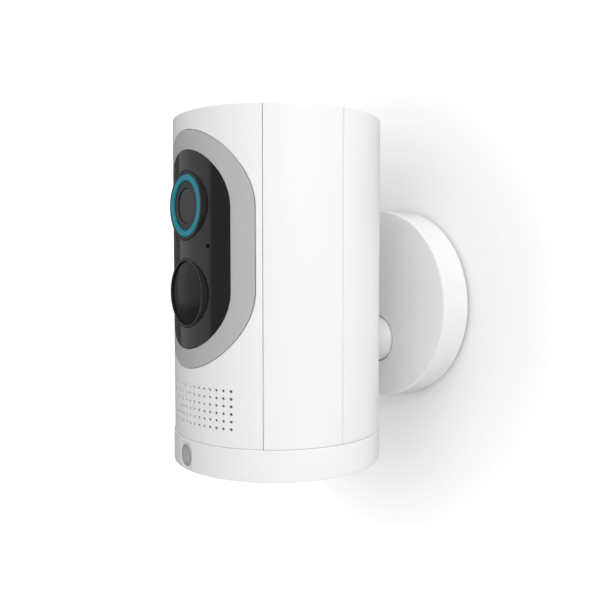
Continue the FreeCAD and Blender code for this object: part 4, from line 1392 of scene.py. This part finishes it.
@dataclass(frozen=True)
class SoftBox:
    """One soft light: where it hangs and how large and strong it is, in metres and watts."""

    name: str
    place: tuple[float, float, float]
    width: float
    height: float
    power: float
    mirrored: bool = False

    def hang(self, aim: Vector) -> None:
        """Adds the light.

        Args:
            aim: the point that it is turned towards, in metres.
        """
        data = bpy.data.lights.new(self.name, "AREA")
        data.shape = "RECTANGLE"
        data.size = self.width
        data.size_y = self.height
        data.energy = self.power
        lamp = bpy.data.objects.new(self.name, data)
        lamp.location = self.place
        lamp.rotation_euler = (aim - Vector(self.place)).to_track_quat("-Z", "Y").to_euler()
        lamp.visible_glossy = self.mirrored
        lamp.visible_camera = False
        bpy.context.scene.collection.objects.link(lamp)


@dataclass(frozen=True)
class Studio:
    """A pale floor and wall, soft light, and the camera. Lengths are in millimetres."""

    layout: Layout
    lens_mm: float = 44.4
    distance: float = 218.7
    azimuth_deg: float = 56.0
    eye_height: float = 57.7
    turn_deg: float = 1.772
    dip_deg: float = 3.122
    floor_drop: float = 300.0
    sheet_half: float = 3000.0

    def build(self) -> None:
        """Builds the stage, the lights and the camera."""
        self.camera()
        self.world()
        self.stage()
        self.lights()
        bpy.context.scene.view_settings.view_transform = "Standard"

    def camera(self) -> None:
        """Stands the camera before the drum's side, a little above its middle."""
        azimuth = math.radians(self.azimuth_deg)
        eye = self.layout.axis + self.distance * Vector((math.sin(azimuth), -math.cos(azimuth), 0))
        eye.z = self.layout.axis.z + self.eye_height
        turn, dip = math.radians(self.turn_deg), math.radians(self.dip_deg)
        ahead = Matrix.Rotation(azimuth, 3, "Z") @ Vector(
            (math.sin(turn) * math.cos(dip), math.cos(turn) * math.cos(dip), -math.sin(dip))
        )
        data = bpy.data.cameras.new("camera")
        data.lens = self.lens_mm
        data.sensor_width = 36.0
        data.clip_start = 0.01
        data.clip_end = 20.0
        camera = bpy.data.objects.new("camera", data)
        camera.location = eye * MM
        camera.rotation_euler = ahead.to_track_quat("-Z", "Y").to_euler()
        bpy.context.scene.collection.objects.link(camera)
        bpy.context.scene.camera = camera

    def world(self) -> None:
        """Fills the room with even light that the camera sees as white and gloss as dim."""
        world = bpy.data.worlds.new("white room")
        bpy.context.scene.world = world
        world.use_nodes = True
        tree = world.node_tree
        tree.nodes.clear()
        room, dim, seen = (
            add_node(tree, "Background", {"Color": (1.0, 1.0, 1.0, 1.0), "Strength": strength})
            for strength in (0.29, 0.1, 1.0)
        )
        path = add_node(tree, "LightPath").outputs
        gloss = add_node(tree, "MixShader", links={
            0: path["Is Glossy Ray"], 1: room.outputs[0], 2: dim.outputs[0],
        })
        mix = add_node(tree, "MixShader", links={
            0: path["Is Camera Ray"], 1: gloss.outputs[0], 2: seen.outputs[0],
        })
        add_node(tree, "OutputWorld", links={"Surface": mix.outputs[0]})

    def stage(self) -> None:
        """Lays a pale floor well under the drum and a wall behind the plate."""
        paint = self._paint_with_glow()
        half = self.sheet_half * MM
        for name, place, turn in (
            ("floor", Vector((0, -900, self.layout.axis.z - self.floor_drop)), 0.0),
            ("back_wall", Vector((0, 0.05, 900)), 90.0),
        ):
            mesh = bpy.data.meshes.new(name)
            corners = [(-half, -half, 0), (half, -half, 0), (half, half, 0), (-half, half, 0)]
            mesh.from_pydata(corners, [], [(0, 1, 2, 3)])
            mesh.materials.append(paint)
            sheet = bpy.data.objects.new(name, mesh)
            sheet.location = place * MM
            sheet.rotation_euler = (math.radians(turn), 0, 0)
            bpy.context.scene.collection.objects.link(sheet)
            sheet.visible_glossy = False

    def _paint_with_glow(self) -> bpy.types.Material:
        """Makes the stage's white paint, which its back doesn't show.

        A painted glow, which only the camera sees, grows with the distance from the plate, so that
        the stage shows pure white and only the plate's shadow stays on it.

        Returns:
            The material.
        """
        paint = bpy.data.materials.new("white_emulsion_with_painted_glow")
        paint.use_nodes = True
        tree = paint.node_tree
        tree.nodes.clear()
        face = add_node(tree, "NewGeometry").outputs
        reach = add_node(tree, "VectorMath", {"operation": "LENGTH"}, {0: face["Position"]})
        # Painted glow: emission that grows away from the plate and lights only camera rays.
        spread = add_node(
            tree, "MapRange", {"From Min": 0.03, "From Max": 0.1, "To Min": 0.02, "To Max": 0.5},
            {"Value": reach.outputs["Value"]},
        )
        path = add_node(tree, "LightPath").outputs
        seen = add_node(tree, "Math", {"operation": "MULTIPLY"}, {
            0: spread.outputs["Result"], 1: path["Is Camera Ray"],
        })
        matt = add_node(tree, "BsdfDiffuse", {"Color": (0.93, 0.93, 0.93, 1.0)})
        lit = add_node(tree, "Emission", links={"Strength": seen.outputs["Value"]})
        front = add_node(tree, "AddShader", links={0: matt.outputs[0], 1: lit.outputs[0]})
        clear = add_node(tree, "BsdfTransparent")
        mix = add_node(tree, "MixShader", links={
            0: face["Backfacing"], 1: front.outputs[0], 2: clear.outputs[0],
        })
        add_node(tree, "OutputMaterial", links={"Surface": mix.outputs[0]})
        return paint

    def lights(self) -> None:
        """Hangs the soft boxes. Only the side card is mirrored in the gloss."""
        aim = (self.layout.axis + Vector((0, 10, 45))) * MM
        for box in (
            SoftBox("key", (0.90, -0.16, 0.42), 0.6, 0.6, 4.8),
            SoftBox("fill", (0.55, -0.80, 0.40), 0.9, 0.7, 1.5),
            SoftBox("overhead", (0.25, -0.40, 1.0), 0.8, 0.8, 4.0),
            SoftBox("rear", (0.35, 0.90, 0.50), 0.8, 0.8, 2.5),
            SoftBox("side card", (-0.66, -0.66, 0.20), 1.0, 0.7, 0.72, mirrored=True),
        ):
            box.hang(aim)


def main() -> None:
    """Builds the object's looks, then the studio."""
    logging.basicConfig(level=logging.INFO, format="%(name)s: %(message)s")
    layout = Layout.read()
    pieces = (Casing(layout), Face(layout), Underside(layout), WallPlate(layout), Contents())
    for group in (*pieces, Studio(layout)):
        group.build()
        log.info("%s built", type(group).__name__)


if __name__ == "__main__":
    main()
